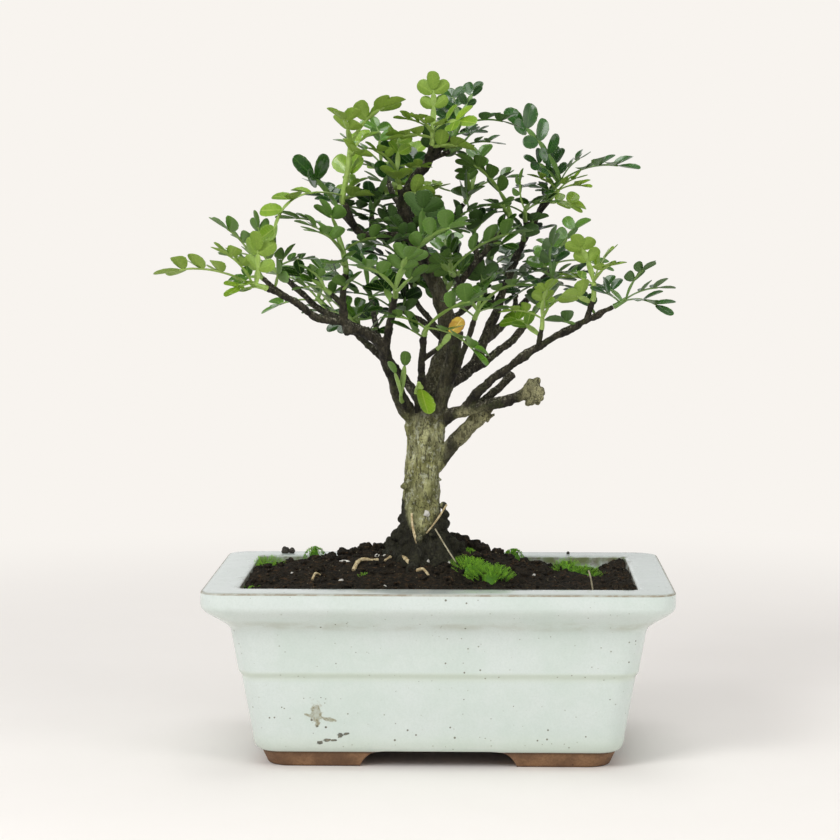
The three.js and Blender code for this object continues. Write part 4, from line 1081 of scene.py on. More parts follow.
def route_points(points, spacing):
    """Points along a smooth route, and the share of the route that is done at each."""
    points = np.asarray(points, dtype=float)
    places = [0.0]
    for segment in range(len(points) - 1):
        steps = max(1, math.ceil(np.linalg.norm(points[segment] - points[segment + 1]) / spacing))
        places += [segment + step / steps for step in range(1, steps + 1)]
    return np.array([route_at(points, place) for place in places]), np.array(places) / (len(points) - 1)


def unit(vector):
    return vector / np.linalg.norm(vector)


def frames_along(route):
    """Two directions across a route at each of its points, turning with it and never about it."""
    across = np.array([0.3, 1.0, 0.2])
    frames = []
    for i in range(len(route)):
        forward = unit(route[min(i + 1, len(route) - 1)] - route[max(i - 1, 0)])
        across = unit(across - across.dot(forward) * forward)
        frames.append((across, np.cross(forward, across)))
    return frames


def round_wood(route, radii, sides):
    """A closed round piece along a route."""
    rings = []
    for point, radius, (across, third) in zip(route, radii, frames_along(route)):
        turns = np.arange(sides) / sides * math.tau
        reach = np.broadcast_to(radius, sides)[:, None]
        rings.append(point + reach * (np.cos(turns)[:, None] * across + np.sin(turns)[:, None] * third))
    return loft(rings)


wood_routes = {name: (first, last, np.array(route, dtype=float)) for name, first, last, route in WOOD}
total_length = sum(np.linalg.norm(np.diff(route, axis=0), axis=1).sum()
                   for _, _, route in wood_routes.values())
print("wood pieces:", len(wood_routes), " total length in mm:", round(total_length))

# %% [markdown]
# The trunk is a column of rings that are lobed like real wood, and it flares into six roots that dive
# into the soil. Pruning left marks: round knobs, burrs where old shoots stood, and at the right a
# knuckle of buds and a broken stub. Balls and short tapered rods stand for them.

# %% The trunk, its roots and the scars on it
STOCK = [([-4, 0, 44], 4), ([-4, 0, 54], 11), ([-5, 0, 64], 13), ([-5, 0, 71], 11), ([-5.5, 0, 78], 8.2),
         ([-6.2, 0, 84], 6.9), ([-6.3, 0, 90], 6.2), ([-5.8, 0, 98], 6), ([-5, 0, 106], 6.2),
         ([-5, 0, 115], 6.9), ([-5, 0, 121], 5.2)]
ROOT_TURNS = [15, 75, 140, 200, 255, 310]
KNOBS = [([31.6, -14.4, 127.2], 2.2), ([-12.4, -3, 94], 1.5), ([-13, 1, 82], 1.9), ([-31, -17, 150], 2.6)]
BURRS = [([-13.2, -4.5, 79], 1.9), ([-15, -4, 76.6], 2.2), ([-16, -2.5, 73.6], 2.6),
         ([-12.2, -6.5, 75], 2.1), ([0.6, -6, 79.6], 1.4), ([2.2, -5.2, 76.4], 1.9),
         ([4.6, -3.6, 73.6], 2.5), ([-7, -9.4, 76], 1.4), ([-2.4, -8.8, 77.4], 1.2), ([-6, -6.4, 103], 0.9),
         ([0.2, -2, 96], 0.8), ([1.2, -3.6, 87], 1.3), ([1.9, -3.2, 84], 1.5), ([1.8, -3.8, 80.6], 1.8)]
# The knuckle is a cluster of round buds where a branch was pruned again and again
KNUCKLE = [([33.6, -15.6, 129.6], 1.9), ([34.2, -15.2, 126.6], 1.8), ([31.6, -16.4, 125], 1.6),
           ([30.6, -16, 129.6], 1.7), ([33.4, -14, 131.2], 1.6), ([29.6, -15.2, 127.4], 1.5),
           ([35, -14.2, 128.4], 1.5), ([33, -16.9, 127.4], 1.4), ([33.8, -13.4, 124.6], 1.3),
           ([31.4, -14.6, 131.6], 1.2), ([34.2, -14.6, 132.4], 1), ([30.8, -14.4, 124], 1.1)]
# Splinters at the broken end of the stub, as starts, ends and radii
SPLINTERS = [([13.6, -4.6, 117.8], [16.6, -5.2, 122.6], 1.3),
             ([15.4, -3.4, 117.8], [18.6, -3.8, 121.8], 1.2), ([12.4, -3.4, 118], [14.2, -3.2, 122.2], 1),
             ([16, -4.8, 117], [19, -5.2, 119.6], 1)]
VOXEL = 0.48
THICK = 1.45

# %% Shapes of the trunk and the roots
def stock_rings():
    """The trunk below its first fork, a lobed column that flares into its roots."""
    middles = np.array([middle for middle, _ in STOCK], dtype=float)
    radii = np.array([radius for _, radius in STOCK], dtype=float)
    route, shares = route_points(middles, 1.5)
    turns = np.arange(64) / 64 * math.tau
    rings = []
    for point, share in zip(route, shares):
        level = share * (len(STOCK) - 1)
        radius = np.interp(level, range(len(radii)), radii)
        lobes = 1 + 0.07 * np.cos(3 * turns + level * 0.5) + 0.05 * np.cos(5 * turns - level * 0.4)
        reach = radius * lobes
        rings.append(np.stack([point[0] + reach * np.cos(turns), point[1] + reach * np.sin(turns),
                               np.full(64, point[2])], axis=1))
    return rings


def root_routes():
    routes = []
    for i, degrees in enumerate(ROOT_TURNS):
        turn = math.radians(degrees)
        reaches = [(4, 76), (11, 71), (17, 65.5), (23 + 3 * (i % 3), 56)]
        routes.append(np.array([[-5 + out * math.cos(turn), out * math.sin(turn), z] for out, z in reaches]))
    return routes


def swayed(route, radius, seed):
    """A route with small sways, none at its start, so that it isn't a clean machine curve."""
    moved = route.copy()
    length = 0.0
    for i in range(1, len(route)):
        length += np.linalg.norm(route[i] - route[i - 1])
        ease = min(1.0, length / 8) * min(1.0, (len(route) - 1 - i) / 4)
        moved[i] += ease * 0.45 * radius ** 0.3 * np.array([
            noise.noise(Vector((length / 7, seed, axis * 9.0))) for axis in range(3)])
    return moved

# %% [markdown]
# Everything thick goes into one heap of closed tubes and balls that cross each other. The voxel remesh
# keeps only their common outside, with a net of even squares, fine enough to carry real fissures. A
# boolean union would keep the sharp creases where tubes meet, which living wood doesn't have.

# %% Growing the limbs together
def build_limbs(material):
    heap = Heap()
    heap.put(*loft(stock_rings()))
    heights = np.arange(STOCK[0][0][2], STOCK[-1][0][2], 1.5)
    stock_heights = [middle[2] for middle, _ in STOCK]
    sampled = [(np.array([-5.5, 0.0, z]), np.interp(z, stock_heights, [radius for _, radius in STOCK]))
               for z in heights]
    for route in root_routes():
        points, shares = route_points(route, 1.5)
        heap.put(*round_wood(points, 2.9 - 1.6 * shares, 12))
    for i, (first, last, route) in enumerate(wood_routes.values()):
        points, shares = route_points(route, 1.2)
        radii = first + (last - first) * shares
        sampled += list(zip(points, radii))
        if first >= THICK:
            swell = np.array([1 + 0.09 * noise.noise(Vector(point) / 4.5) for point in points])
            heap.put(*round_wood(swayed(points, first, i), radii * swell, 16))
    draw = random.Random(5)
    skirt = []
    for _ in range(46):
        turn = draw.uniform(0, math.tau)
        out = draw.uniform(10.5, 13.5)
        x, y = -5.5 + out * math.cos(turn), out * math.sin(turn)
        skirt.append(([x, y, soil_height(x, y) + draw.uniform(-0.5, 2.6)], draw.uniform(0.9, 2.1)))
    for start, end, radius in SPLINTERS:
        points, shares = route_points(np.array([start, end], dtype=float), 0.8)
        heap.put(*round_wood(points, radius * (1 - 0.6 * shares), 10))
    for i, (place, radius) in enumerate(KNOBS + BURRS + KNUCKLE + skirt):
        points, faces = ball(3)
        heap.put(dented(points, 0.4, 0.9, i * 2.1) * radius + place, faces)
    limbs = heap.piece("wood_limbs", [material])
    melt = limbs.modifiers.new("melt", "REMESH")
    melt.mode = "VOXEL"
    melt.voxel_size = VOXEL * MM
    bpy.context.view_layer.objects.active = limbs
    bpy.ops.object.modifier_apply(modifier=melt.name)
    roughen(limbs.data, sampled)
    dress(limbs, ["tree"], crease=80.0)

# %% Fissures and ripples in the wood
def girths_at(places, sampled):
    """How thick the wood is at each point. The nearest wood counts most, and thick wood more than thin."""
    middles = np.array([middle for middle, _ in sampled])
    radii = np.array([radius for _, radius in sampled])
    girths = []
    for part in np.array_split(places, len(places) // 3000 + 1):
        gaps = np.maximum(np.linalg.norm(part[:, None] - middles, axis=2) - radii, 0)
        weights = radii ** 2 / (gaps ** 2 + 0.5) ** 2
        girths.append((weights * radii).sum(axis=1) / weights.sum(axis=1))
    return np.concatenate(girths)


def normals_of(mesh):
    normals = np.empty(len(mesh.vertices) * 3)
    mesh.vertex_normals.foreach_get("vector", normals)
    return normals.reshape(-1, 3)


def roughen(mesh, sampled):
    """Gives the fused wood its fissures, ripples and small knobs, in real relief."""
    places = places_of(mesh)
    girths = girths_at(places, sampled)
    normals = normals_of(mesh)
    lift = np.empty(len(places))
    for i, (x, y, z) in enumerate(places):
        trunk = min(1.0, girths[i] / 7)
        fissure = abs(noise.noise(Vector((x / 1.9, y / 1.9, z / 8))))
        lump = noise.noise(Vector((x / 4.5, y / 4.5, z / 4.5)))
        fine = noise.noise(Vector((x / 1.1, y / 1.1, z / 1.1)))
        ripple = noise.noise(Vector((x / 1.6, y / 1.6, z / 1.6)))
        lift[i] = ((0.3 + 0.7 * trunk) * (0.75 * fissure - 0.2) + (0.2 + 0.35 * trunk) * lump
                   + 0.22 * ripple + 0.14 * fine)
    move_points(mesh, places + normals * lift[:, None])
    mark(mesh, "girth", np.clip(girths / 7, 0, 1))
    # How far each point faces up, by which the twig bark places its painted light and shade
    mark(mesh, "sky", 0.5 + 0.5 * normals[:, 2])

# %% [markdown]
# Two barks share this wood. The trunk is pale olive, streaked, cracked and spotted with lichen. The
# limbs and twigs are dark grey-brown, with painted shade where they face down and grey flecks painted as
# light where they face up. Each point knows how thick its wood is and how far it faces the sky: the first
# chooses between the barks, and the second places the painted light and shade.

# %% Bark
# How high the trunk's own bark reaches, and where its darker foot ends, at its middle
TWIG_START = (112.0, 122.0)
DARK_FOOT_LINE = (81.5, 76.5)
DARK_FOOT_LIMIT = (93.0, 88.0)


def trunk_bark(tree, cloud, streak):
    """Olive grey with long streaks, greener damp patches and pale lichen."""
    colour = blend(cloud, tone(178, 177, 114), tone(216, 216, 162))
    colour = paint(colour, (88, 85, 54), streak, 0.62)
    colour = paint(colour, (104, 108, 62), mottle(tree, 11, 3, 0.46, 0.6, (1, 1, 0.4)), 0.35)
    return paint(colour, (220, 222, 192), mottle(tree, 2.2, 7, 0.53, 0.62), 0.7)


def twig_bark(tree, place, streak):
    """Dark grey-brown, with painted shade where it faces down and painted light on grey flecks where it faces
    up, and paler at the pruned knuckle and the cut stub.
    """
    sky = marked(tree, "sky")
    colour = blend(streak, tone(76, 70, 54), tone(23, 20, 14))
    # Painted shade: wood that faces down is darkened
    colour = paint(colour, (26, 22, 15), span(sky, 0.42, 0.1), 0.7)
    flecks = mottle(tree, 0.9, 5, 0.52, 0.6)
    # Painted light: the grey flecks show only where the wood faces up
    painted_light_flecks = times(span(sky, 0.4, 0.95), between(flecks, 0.1, 1))
    colour = paint(colour, (186, 182, 158), painted_light_flecks, 0.85)
    colour = paint(colour, (20, 17, 12), mottle(tree, 0.8, 4, 0.5, 0.6), 0.6)
    colour = paint(colour, (86, 94, 50), mottle(tree, 5, 4, 0.5, 0.66), 0.35)
    knuckle = times(span(place[0], 26.5, 29.5), span(place[2], 135, 133))
    stub = times(span(place[0], 4, 8), span(place[2], 123, 119.5))
    return paint(colour, (178, 174, 130), times(most(knuckle, stub), between(streak, 0.95, 0.55)))


def cracks_and_pits(tree):
    pits = mottle(tree, 0.55, 5, 0.53, 0.6, (1, 1, 0.6))
    pits = times(pits, between(mottle(tree, 4.5, 3, 0.4, 0.6), 0.2, 0.8))
    return most(pits, times(mottle(tree, 1.1, 3, 0.56, 0.62, (1, 1, 0.22)), 0.7))


def darker_foot(place, cloud):
    """Where the foot of the trunk is darker, higher at its sides than at its middle."""
    aside = times(maths("POWER", plus(place[0], 6.2), 2), 0.24)
    wavy = minus(plus(place[2], times(cloud, 3)), aside)
    return times(span(wavy, *DARK_FOOT_LINE), span(place[2], *DARK_FOOT_LIMIT))


def bark_material():
    made, tree, shader = new_material("bark")
    place = axes(tree)
    streak = mottle(tree, 2.4, 6, 0.38, 0.64, (1, 1, 0.35))
    cloud = mottle(tree, 7, 4, 0.38, 0.64)
    grain = mottle(tree, 0.7, 5, 0.35, 0.68)
    thin = most(span(marked(tree, "girth"), 0.66, 0.32), times(span(place[2], *TWIG_START), 0.9))
    colour = blend(thin, trunk_bark(tree, cloud, streak), twig_bark(tree, place, streak))
    pits = cracks_and_pits(tree)
    colour = paint(colour, (56, 52, 32), pits)
    dark_foot_tone = blend(grain, tone(32, 29, 19), tone(9, 8, 5))
    colour = blend(times(darker_foot(place, cloud), 0.95), colour, dark_foot_tone)
    shader["Specular IOR Level"].default_value = 0.35
    relief = minus(plus(streak, times(grain, 0.6)), pits)
    finish(shader, colour, between(streak, 0.6, 0.85), relief, 0.6)
    return made


BARK = bark_material()
build_limbs(BARK)

# %% Thin twigs with their buds
def build_twigs(material):
    heap = Heap()
    girths = []
    draw = random.Random(23)
    bud_points, bud_faces = ball(2)
    for i, (first, last, route) in enumerate(wood_routes.values()):
        if first >= THICK:
            continue
        points, shares = route_points(route, 0.7)
        swell = np.array([1 + 0.2 * noise.noise(Vector(point) / 1.3) for point in points])
        radii = (first + (last - first) * shares) * swell * 0.94
        points = swayed(points, first, 60 + i)
        before = heap.count
        heap.put(*round_wood(points, radii, 12))
        for step in range(5, len(points) - 1, 5):
            side = unit(np.array([draw.uniform(-1, 1), draw.uniform(-1, 1), draw.uniform(-0.2, 1)]))
            size = draw.uniform(0.5, 0.85)
            shape = dented(bud_points, 0.5, 0.8, step + i) * size
            heap.put(shape + points[step] + side * radii[step] * 0.8, bud_faces)
        girths += [first / 7] * (heap.count - before)
    twigs = heap.piece("wood_twigs", [material])
    mark(twigs.data, "girth", girths)
    dress(twigs, [], crease=80.0)
    # How far each point faces up, by which the twig bark places its painted light and shade
    mark(twigs.data, "sky", 0.5 + 0.5 * normals_of(twigs.data)[:, 2])


build_twigs(BARK)

# %% [markdown]
# Each shoot ends in a few compound leaves. A compound leaf has a winged green rib with leaflets in pairs
# and one more at its tip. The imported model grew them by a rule: a leaf starts at its place on the stem,
# in its own direction, and swings aside in small steps until it is clear of the wood and of the leaves
# that are there already. Repeating the rule here puts the finished leaves exactly where the plain ones
# are, with every pair of leaflets that the real leaf has.

# %% The shoots
# Each shoot is the wood that carries it, its tone, the steps of its green stem, and its leaves. A leaf is
# its place along the stem, azimuth, elevation, length, pairs of leaflets, and where they aren't usual its
# roll about its rib, its arch as a share of its length, and the length of its leaflets.
SHOOTS = [
    ("top_left", "young", [(2, -2, 10), (3, -3, 18)], [(1, -20, 35, 26, 3, 0, 0.18),
        (0.96, -100, 32, 22, 2), (0.84, 45, 35, 16, 2), (0.1, -146, -42, 38, 3, 0, 0.34)]),
    ("crown_left_glossy", "glossy", [(-2, 0, 4)], [(1, -150, 42, 22, 1, -60, 0.05, 10),
        (0.7, 140, 30, 20, 2)]),
    ("crown_left_side", "glossy", [(1, 0, 4)], [(1, 20, 54, 25, 3, 40), (0.8, 50, 8, 17, 2),
        (0.5, -35, 14, 17, 2)]),
    ("crown_mid", "young", [(-1, -2, 5)], [(1, -129, 45, 18, 2), (0.7, -50, 23, 15, 1),
        (0.9, 100, 55, 18, 2)]),
    ("crown_top", "young", [(0, -1, 4)], [(1, -90, 78, 20, 3), (0.9, 165, 44, 15, 1),
        (0.8, -32, 24, 25, 3, 50), (0.6, -100, 24, 15, 1)]),
    ("leader", "glossy", [(2, -1, 4)], [(1, 23, 60, 16, 1, 60), (0.7, -23, 10, 24, 3),
        (0.9, 110, 50, 18, 2)]),
    ("crown_right_low", "glossy", [(3, 1, 1)], [(1, 50, 26, 16, 2), (0.7, -15, 2, 17, 2),
        (0.5, 110, 28, 20, 2)]),
    ("right_up", "glossy", [(3, -1, 4), (5, -2, 6)], [(1, -152, 46, 34, 4, -75), (1, -15, 40, 15, 1),
        (0.8, -35, 20, 34, 3), (0.2, -70, -4, 17, 2), (0.7, -120, 34, 17, 1, -55)]),
    ("right_top_tuft", "young", [(2, -2, 2)], [(1, -60, 26, 14, 2), (0.7, 5, 50, 13, 1),
        (0.9, -140, 44, 13, 1)]),
    ("right_top_front", "mature", [(0, -3, 3)], [(1, -80, 62, 15, 2), (0.8, -40, 25, 16, 1),
        (0.6, -160, 15, 18, 2)]),
    ("mid_right", "mature", [(2, 0, 4)], [(1, -149, 35, 32, 3), (0.7, -100, 20, 18, 2)]),
    ("mid_right_dark", "glossy", [(0, 0, 4)], [(1, -120, 66, 19, 2, 0, 0.1, 8), (0.8, 50, 15, 17, 2)]),
    ("mid_right_front", "mature", [(-1, -3, 1)], [(1, -16, 25, 33, 4), (0.8, -90, 18, 15, 2)]),
    ("left_mid", "mature", [(0, -3, 2)], [(1, -34, 34, 38, 4, 0, 0.2), (0.9, -66, 70, 21, 2),
        (0.8, -128, 32, 26, 3), (0.5, 175, 25, 20, 2)]),
    ("front_mid", "mature", [(1, -2, 2)], [(1, -30, 20, 27, 3), (0.8, -40, -26, 29, 3),
        (0.6, -150, 12, 18, 2)]),
    ("withered", "withered", [(1, -1, 1)], [(1, -5, 52, 11.5, 0, 112, 0.06, 7)]),
    ("core_front", "glossy", [(0, -3, 1)], [(1, -85, 50, 18, 1, 0, 0.1, 8), (0.8, -15, 20, 17, 2),
        (0.6, 175, 8, 20, 2)]),
    ("core_right", "glossy", [(3, -2, 1)], [(1, 8, 30, 17, 2), (0.8, -50, 25, 16, 2)]),
    ("left_low", "young", [(-4, -2, 1)], [(1, -170, 5, 33, 4, 12), (0.8, -128, 4, 17, 1),
        (0.9, -135, 34, 22, 3)]),
    ("left_tip_up", "mature", [(-2, 0, 4)], [(1, -80, 58, 19, 2), (0.9, -117, 64, 25, 3),
        (0.7, 150, 42, 17, 2)]),
    ("left_high", "mature", [(-3, 0, 2)], [(0.6, 30, 10, 17, 2), (0.3, -30, -8, 15, 2), (1, 130, 28, 22, 3),
        (0.9, 175, 35, 20, 2)]),
    ("left_twig", "mature", [(-1, 0, 6), (-3, 2, 12)], [(0.4, -122, 20, 24, 3), (0.55, 168, 14, 20, 2),
        (0.5, -40, -6, 19, 2), (1, -168, 10, 25, 3)]),
    ("left_pale", "mature", [(-1, -1, 1)], [(1, -135, 34, 14, 1), (0.6, 160, -4, 13, 1)]),
    ("sprout_low", "young", [(1, -6, 3)], [(1, -78, -62, 13, 0, 0, 0.1, 10.5)]),
    ("sprout_thin", "mature", [(0, -3, 2)], [(1, -60, 76, 16, 0, 0, 0.04, 5.5),
        (0.9, -120, 66, 14, 0, 0, 0.05, 5)]),
    ("right_long", "glossy", [(3, -1, 2)], [(1, -42, 45, 18, 1), (0.7, -50, -12, 24, 3),
        (0.5, 14, -2, 20, 3), (0.6, 80, 12, 20, 2)]),
    ("right_tip_young", "young", [(0, -1, 5)], [(1, -135, 58, 19, 2), (1, -60, 48, 18, 2),
        (0.8, 140, 28, 15, 2), (0.9, 5, 40, 16, 1)]),
    ("right_mid_lime", "young", [(0, -1, 3)], [(1, -69, 55, 16, 2), (0.8, -160, 35, 16, 2),
        (0.6, 60, 30, 17, 2)]),
    ("front_right", "mature", [(1, -2, 2)], [(1, -28, 7, 26, 3, 0, 0.18), (0.8, -130, 30, 16, 2),
        (0.7, 60, 40, 18, 2)]),
    ("right_dark", "glossy", [(0, -1, 4)], [(1, -72, 70, 19, 2, 0, 0.1, 7), (0.8, -120, 39, 18, 2),
        (0.5, -160, 9, 20, 2), (0.6, -25, 8, 17, 2), (0.7, 75, 22, 22, 3)]),
    ("inner_right", "glossy", [(-1, -2, 2)], [(1, -105, -8, 18, 2), (0.7, -35, 8, 18, 2)]),
    ("inner_left", "glossy", [(-2, 1, 2)], [(1, -160, 22, 20, 2), (0.8, 130, 40, 20, 2)]),
    ("inner_low", "glossy", [(-3, 1, 1)], [(1, -172, 12, 20, 2), (0.8, 110, 15, 20, 2)]),
    ("crown_back", "mature", [(-1, 2, 4)], [(1, 110, 55, 20, 2), (0.8, 170, 25, 20, 2),
        (0.6, 50, 25, 20, 2)]),
    ("back_left", "mature", [(-3, 1, 3)], [(1, 150, 20, 24, 2), (0.8, 90, 35, 22, 2),
        (0.6, -170, 8, 22, 2)]),
    ("back_left_up", "glossy", [(-1, 1, 4)], [(1, 120, 55, 20, 2), (0.8, 60, 25, 20, 2),
        (0.6, 170, 28, 20, 2)]),
    ("back_left_in", "mature", [(-3, 0, 3)], [(1, 170, 40, 20, 2), (0.5, -150, 15, 18, 2)]),
    ("back_mid", "mature", [(0, 2, 4)], [(1, 90, 40, 24, 2), (0.8, 140, 14, 22, 2), (0.7, 35, 14, 22, 2)]),
    ("back_mid_right", "glossy", [(1, 1, 4)], [(1, 60, 55, 20, 2), (0.8, 0, 30, 18, 2),
        (0.6, -70, 35, 18, 2)]),
    ("back_mid_left", "glossy", [(-1, 1, 4)], [(1, 120, 55, 20, 2), (0.7, -165, 24, 18, 2),
        (0.8, 60, 30, 18, 2)]),
    ("back_high", "young", [(0, 2, 4)], [(1, 95, 55, 22, 2), (0.8, 150, 22, 22, 2), (0.7, 40, 18, 18, 2)]),
    ("back_high_right", "mature", [(2, 0, 4)], [(1, 60, 55, 20, 2), (0.8, 0, 28, 20, 2),
        (0.6, -60, 38, 16, 2)]),
    ("back_right", "mature", [(2, 2, 3)], [(1, 40, 42, 22, 2), (0.8, 95, 18, 22, 2),
        (0.6, -15, 18, 22, 2)]),
    ("back_right_in", "glossy", [(0, 2, 3)], [(1, 90, 40, 20, 2), (0.8, 140, 8, 18, 2),
        (0.6, 40, 0, 18, 2)]),
]

# %% The stem of a shoot and the rib of a leaf
STEM_RADIUS = 1.1
STEM_LEAD = 1.2
LEAF_ARCH = 0.12
LEAFLET_FORWARD = 35.0
LEAFLET_FOLD = 14.0


def stem_of(carrier, steps):
    """The control points of a green stem, which starts a hair beyond the end of its wood."""
    _, last, route = wood_routes[carrier]
    forward = unit(route[-1] - route[-2])
    start = route[-1] + FIT * forward
    lead = start + STEM_LEAD * forward
    return np.array([start, lead] + [lead + np.array(step) for step in steps]), min(last, STEM_RADIUS)


def heading(azimuth, elevation):
    flat = math.cos(math.radians(elevation))
    return np.array([flat * math.cos(math.radians(azimuth)), flat * math.sin(math.radians(azimuth)),
                     math.sin(math.radians(elevation))])


class Rib:
    """The rib of a leaf: an arc from its root to the tip of its last leaflet."""

    def __init__(self, root, leaf, swing):
        azimuth, elevation, self.length, self.pairs = leaf[1:5]
        roll = leaf[5] if len(leaf) > 5 else 0
        arch = leaf[6] if len(leaf) > 6 else LEAF_ARCH
        self.size = leaf[7] if len(leaf) > 7 else min(8.5, max(4.5, 0.32 * self.length))
        self.tip_start = self.length - self.size
        chord = heading(azimuth + swing[0], elevation + swing[1])
        up = np.array([0, 0, 1.0]) + 0.25 * unit(np.array([-root[0], -root[1], 0]))
        up = unit(up - up.dot(chord) * chord)
        turn = math.radians(roll)
        self.up = up * math.cos(turn) + np.cross(chord, up) * math.sin(turn)
        self.root = root
        self.tip = root + chord * self.length
        self.bend = (root + self.tip) / 2 + self.up * 2 * arch * self.length

    def at(self, distance):
        """The point, the way forward, up and to the side at a distance along the rib."""
        t = distance / self.length
        point = (1 - t) ** 2 * self.root + 2 * t * (1 - t) * self.bend + t * t * self.tip
        forward = unit((1 - t) * (self.bend - self.root) + t * (self.tip - self.bend))
        up = unit(self.up - self.up.dot(forward) * forward)
        return point, forward, up, np.cross(forward, up)

    def room(self):
        """Points spread over the room that the leaf takes."""
        points = []
        distance = 0.0
        while distance <= self.length:
            point, _, up, side = self.at(distance)
            points.append(point)
            if distance >= 0.2 * self.length:
                paired = self.pairs > 0 and distance < self.tip_start + self.size * 0.3
                reach = 0.85 * self.size if paired else 0.3 * self.size
                for share in (-1, -0.66, -0.33, 0.33, 0.66, 1) if paired else (-1, 1):
                    lift = abs(share) * reach * math.tan(math.radians(LEAFLET_FOLD))
                    points.append(point + side * share * reach + up * lift)
            distance += 2.5
        return np.array(points)

# %% Growing the leaves clear of each other
CROWN_HEART = np.array([-4.0, 0.0, 165.0])
CROWN_RADIUS = 68.0
FILLERS = {"young": 4, "mature": 6, "glossy": 9, "withered": 0}
SHOOT_FILLERS = {"sprout_low": 0, "sprout_thin": 0, "front_mid": 1, "left_low": 2, "left_tip_up": 3,
                 "left_high": 3, "left_twig": 4, "left_pale": 2, "front_right": 3, "inner_low": 5,
                 "right_long": 5, "right_mid_lime": 2, "right_tip_young": 1, "right_dark": 14,
                 "right_up": 15, "right_top_tuft": 10, "right_top_front": 12, "core_front": 14,
                 "core_right": 14, "leader": 12, "mid_right": 10, "crown_left_side": 12, "back_high": 8}
CLEAR_OF_LEAF = 2.0
CLEAR_OF_WOOD = 1.3
ROOT_ZONE = 6.0
SWINGS = [(0.0, 0.0)] + [
    (size * math.cos(math.radians(turn)), size * math.sin(math.radians(turn)))
    for size in (7, 14, 21, 28, 35) for turn in (0, 180, 90, 270, 45, 225, 135, 315)]


def bars_of(points, first, last):
    """Straight pieces with a radius, which stand for wood when leaves are kept clear."""
    route, shares = route_points(points, 5)
    return [(route[i - 1], route[i], first + (last - first) * shares[i]) for i in range(1, len(route))]


def distances(points, others):
    return np.linalg.norm(points[:, None] - others[None], axis=2)


def distance_to_bars(points, starts, ends, radii):
    along = ends - starts
    share = ((points[:, None] - starts) * along).sum(axis=2) / (along * along).sum(axis=1)
    nearest = starts + np.clip(share, 0, 1)[..., None] * along
    return np.linalg.norm(points[:, None] - nearest, axis=2) - radii


def spare_room(room, rib, owner, bars, grown):
    """How much a leaf has to spare: under 0 means that it is too close to something."""
    starts, ends, radii = bars
    free = room[np.linalg.norm(room - rib.root, axis=1) >= ROOT_ZONE]
    near = distances(free, starts) <= 16
    gaps = distance_to_bars(free, starts, ends, radii)
    spare = gaps[near].min() - CLEAR_OF_WOOD if near.any() else math.inf
    for other in grown:
        points = free if other["owner"] == owner else room
        points = points[np.linalg.norm(points - other["middle"], axis=1) <= other["reach"] + 4]
        if len(points):
            spare = min(spare, distances(points, other["room"]).min() - CLEAR_OF_LEAF)
    return spare


def fit_leaf(root, leaf, owner, bars, grown):
    """The leaf in the first swing that is clear of everything, or else in the clearest one."""
    best = None
    reach = 1.3 * leaf[3] + 14
    close = np.linalg.norm(bars[0] - root, axis=1) <= 16 + reach
    bars = [column[close] for column in bars]
    grown = [other for other in grown if np.linalg.norm(other["middle"] - root) <= other["reach"] + reach]
    for swing in SWINGS:
        rib = Rib(root, leaf, swing)
        room = rib.room()
        spare = spare_room(room, rib, owner, bars, grown)
        if best is None or spare > best["spare"]:
            best = {"owner": owner, "rib": rib, "room": room, "spare": spare}
        if spare >= 0:
            break
    best["middle"] = (root + best["rib"].tip) / 2
    best["reach"] = np.linalg.norm(best["room"] - best["middle"], axis=1).max()
    return best

# %% [markdown]
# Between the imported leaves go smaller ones, which the solids leave out. They start on the same stems and
# wood, obey the same rule, and end no further out than their shoot does, so they fill the crown and
# don't change its outline. They are most in the dark inner shoots, and the low sprouts have none.

# %% Growing all the leaves
def grow_leaves():
    """One entry for each leaf: its owner and its rib, in the order in which they grew."""
    bars = []
    for carrier, _, steps, _ in SHOOTS:
        points, radius = stem_of(carrier, steps)
        bars += bars_of(points, radius, 0.8 * radius)
    for first, last, route in wood_routes.values():
        bars += bars_of(route, first, last)
    bars = [np.array(column) for column in zip(*bars)]
    grown = []
    for carrier, _, steps, leaves in SHOOTS:
        points, _ = stem_of(carrier, steps)
        for leaf in leaves:
            root = route_at(points, 1 + leaf[0] * (len(points) - 2))
            grown.append(fit_leaf(root, leaf, carrier, bars, grown))
    return grown + fill_in(bars, grown)


def fill_in(bars, grown):
    """Smaller leaves between the others, on the same stems and wood, inside the outline of the crown."""
    draw = random.Random(7)
    added = []
    for carrier, tone_name, steps, _ in SHOOTS:
        reach = max((leaf["rib"].tip - CROWN_HEART) @ (leaf["rib"].tip - CROWN_HEART)
                    for leaf in grown if leaf["owner"] == carrier)
        stem, _ = stem_of(carrier, steps)
        _, _, wood = wood_routes[carrier]
        for _ in range(SHOOT_FILLERS.get(carrier, FILLERS[tone_name])):
            on_stem = draw.random() < 0.6
            route = stem if on_stem else wood
            place = draw.uniform(0.3, 0.95) if on_stem else draw.uniform(0.6, 0.98)
            root = route_at(route, place * (len(route) - 1))
            leaf = (0, draw.uniform(-180, 180), draw.uniform(5, 60), draw.uniform(12, 19), 2,
                    draw.uniform(-45, 45), 0.1, draw.uniform(6.0, 7.6))
            small = fit_leaf(root, leaf, carrier, bars, grown + added)
            away = small["rib"].tip - CROWN_HEART
            if small["spare"] > -0.5 and away @ away < reach:
                added.append(small)
    return added


grown_leaves = grow_leaves()
print("leaves:", len(grown_leaves), " leaflets:", sum(2 * leaf["rib"].pairs + 1 for leaf in grown_leaves))

# %% [markdown]
# A leaflet is an egg-shaped blade, widest past its middle, with a shallow scalloped edge, a groove along
# its middle rib and a slight cup. It is built as a closed lens: one net of points for the upper face, one
# for the lower face, and an edge that both share, so it has a real thickness and no open rim. Each
# point also stores how far it is along and across the blade, for the veins, and which face it is on.

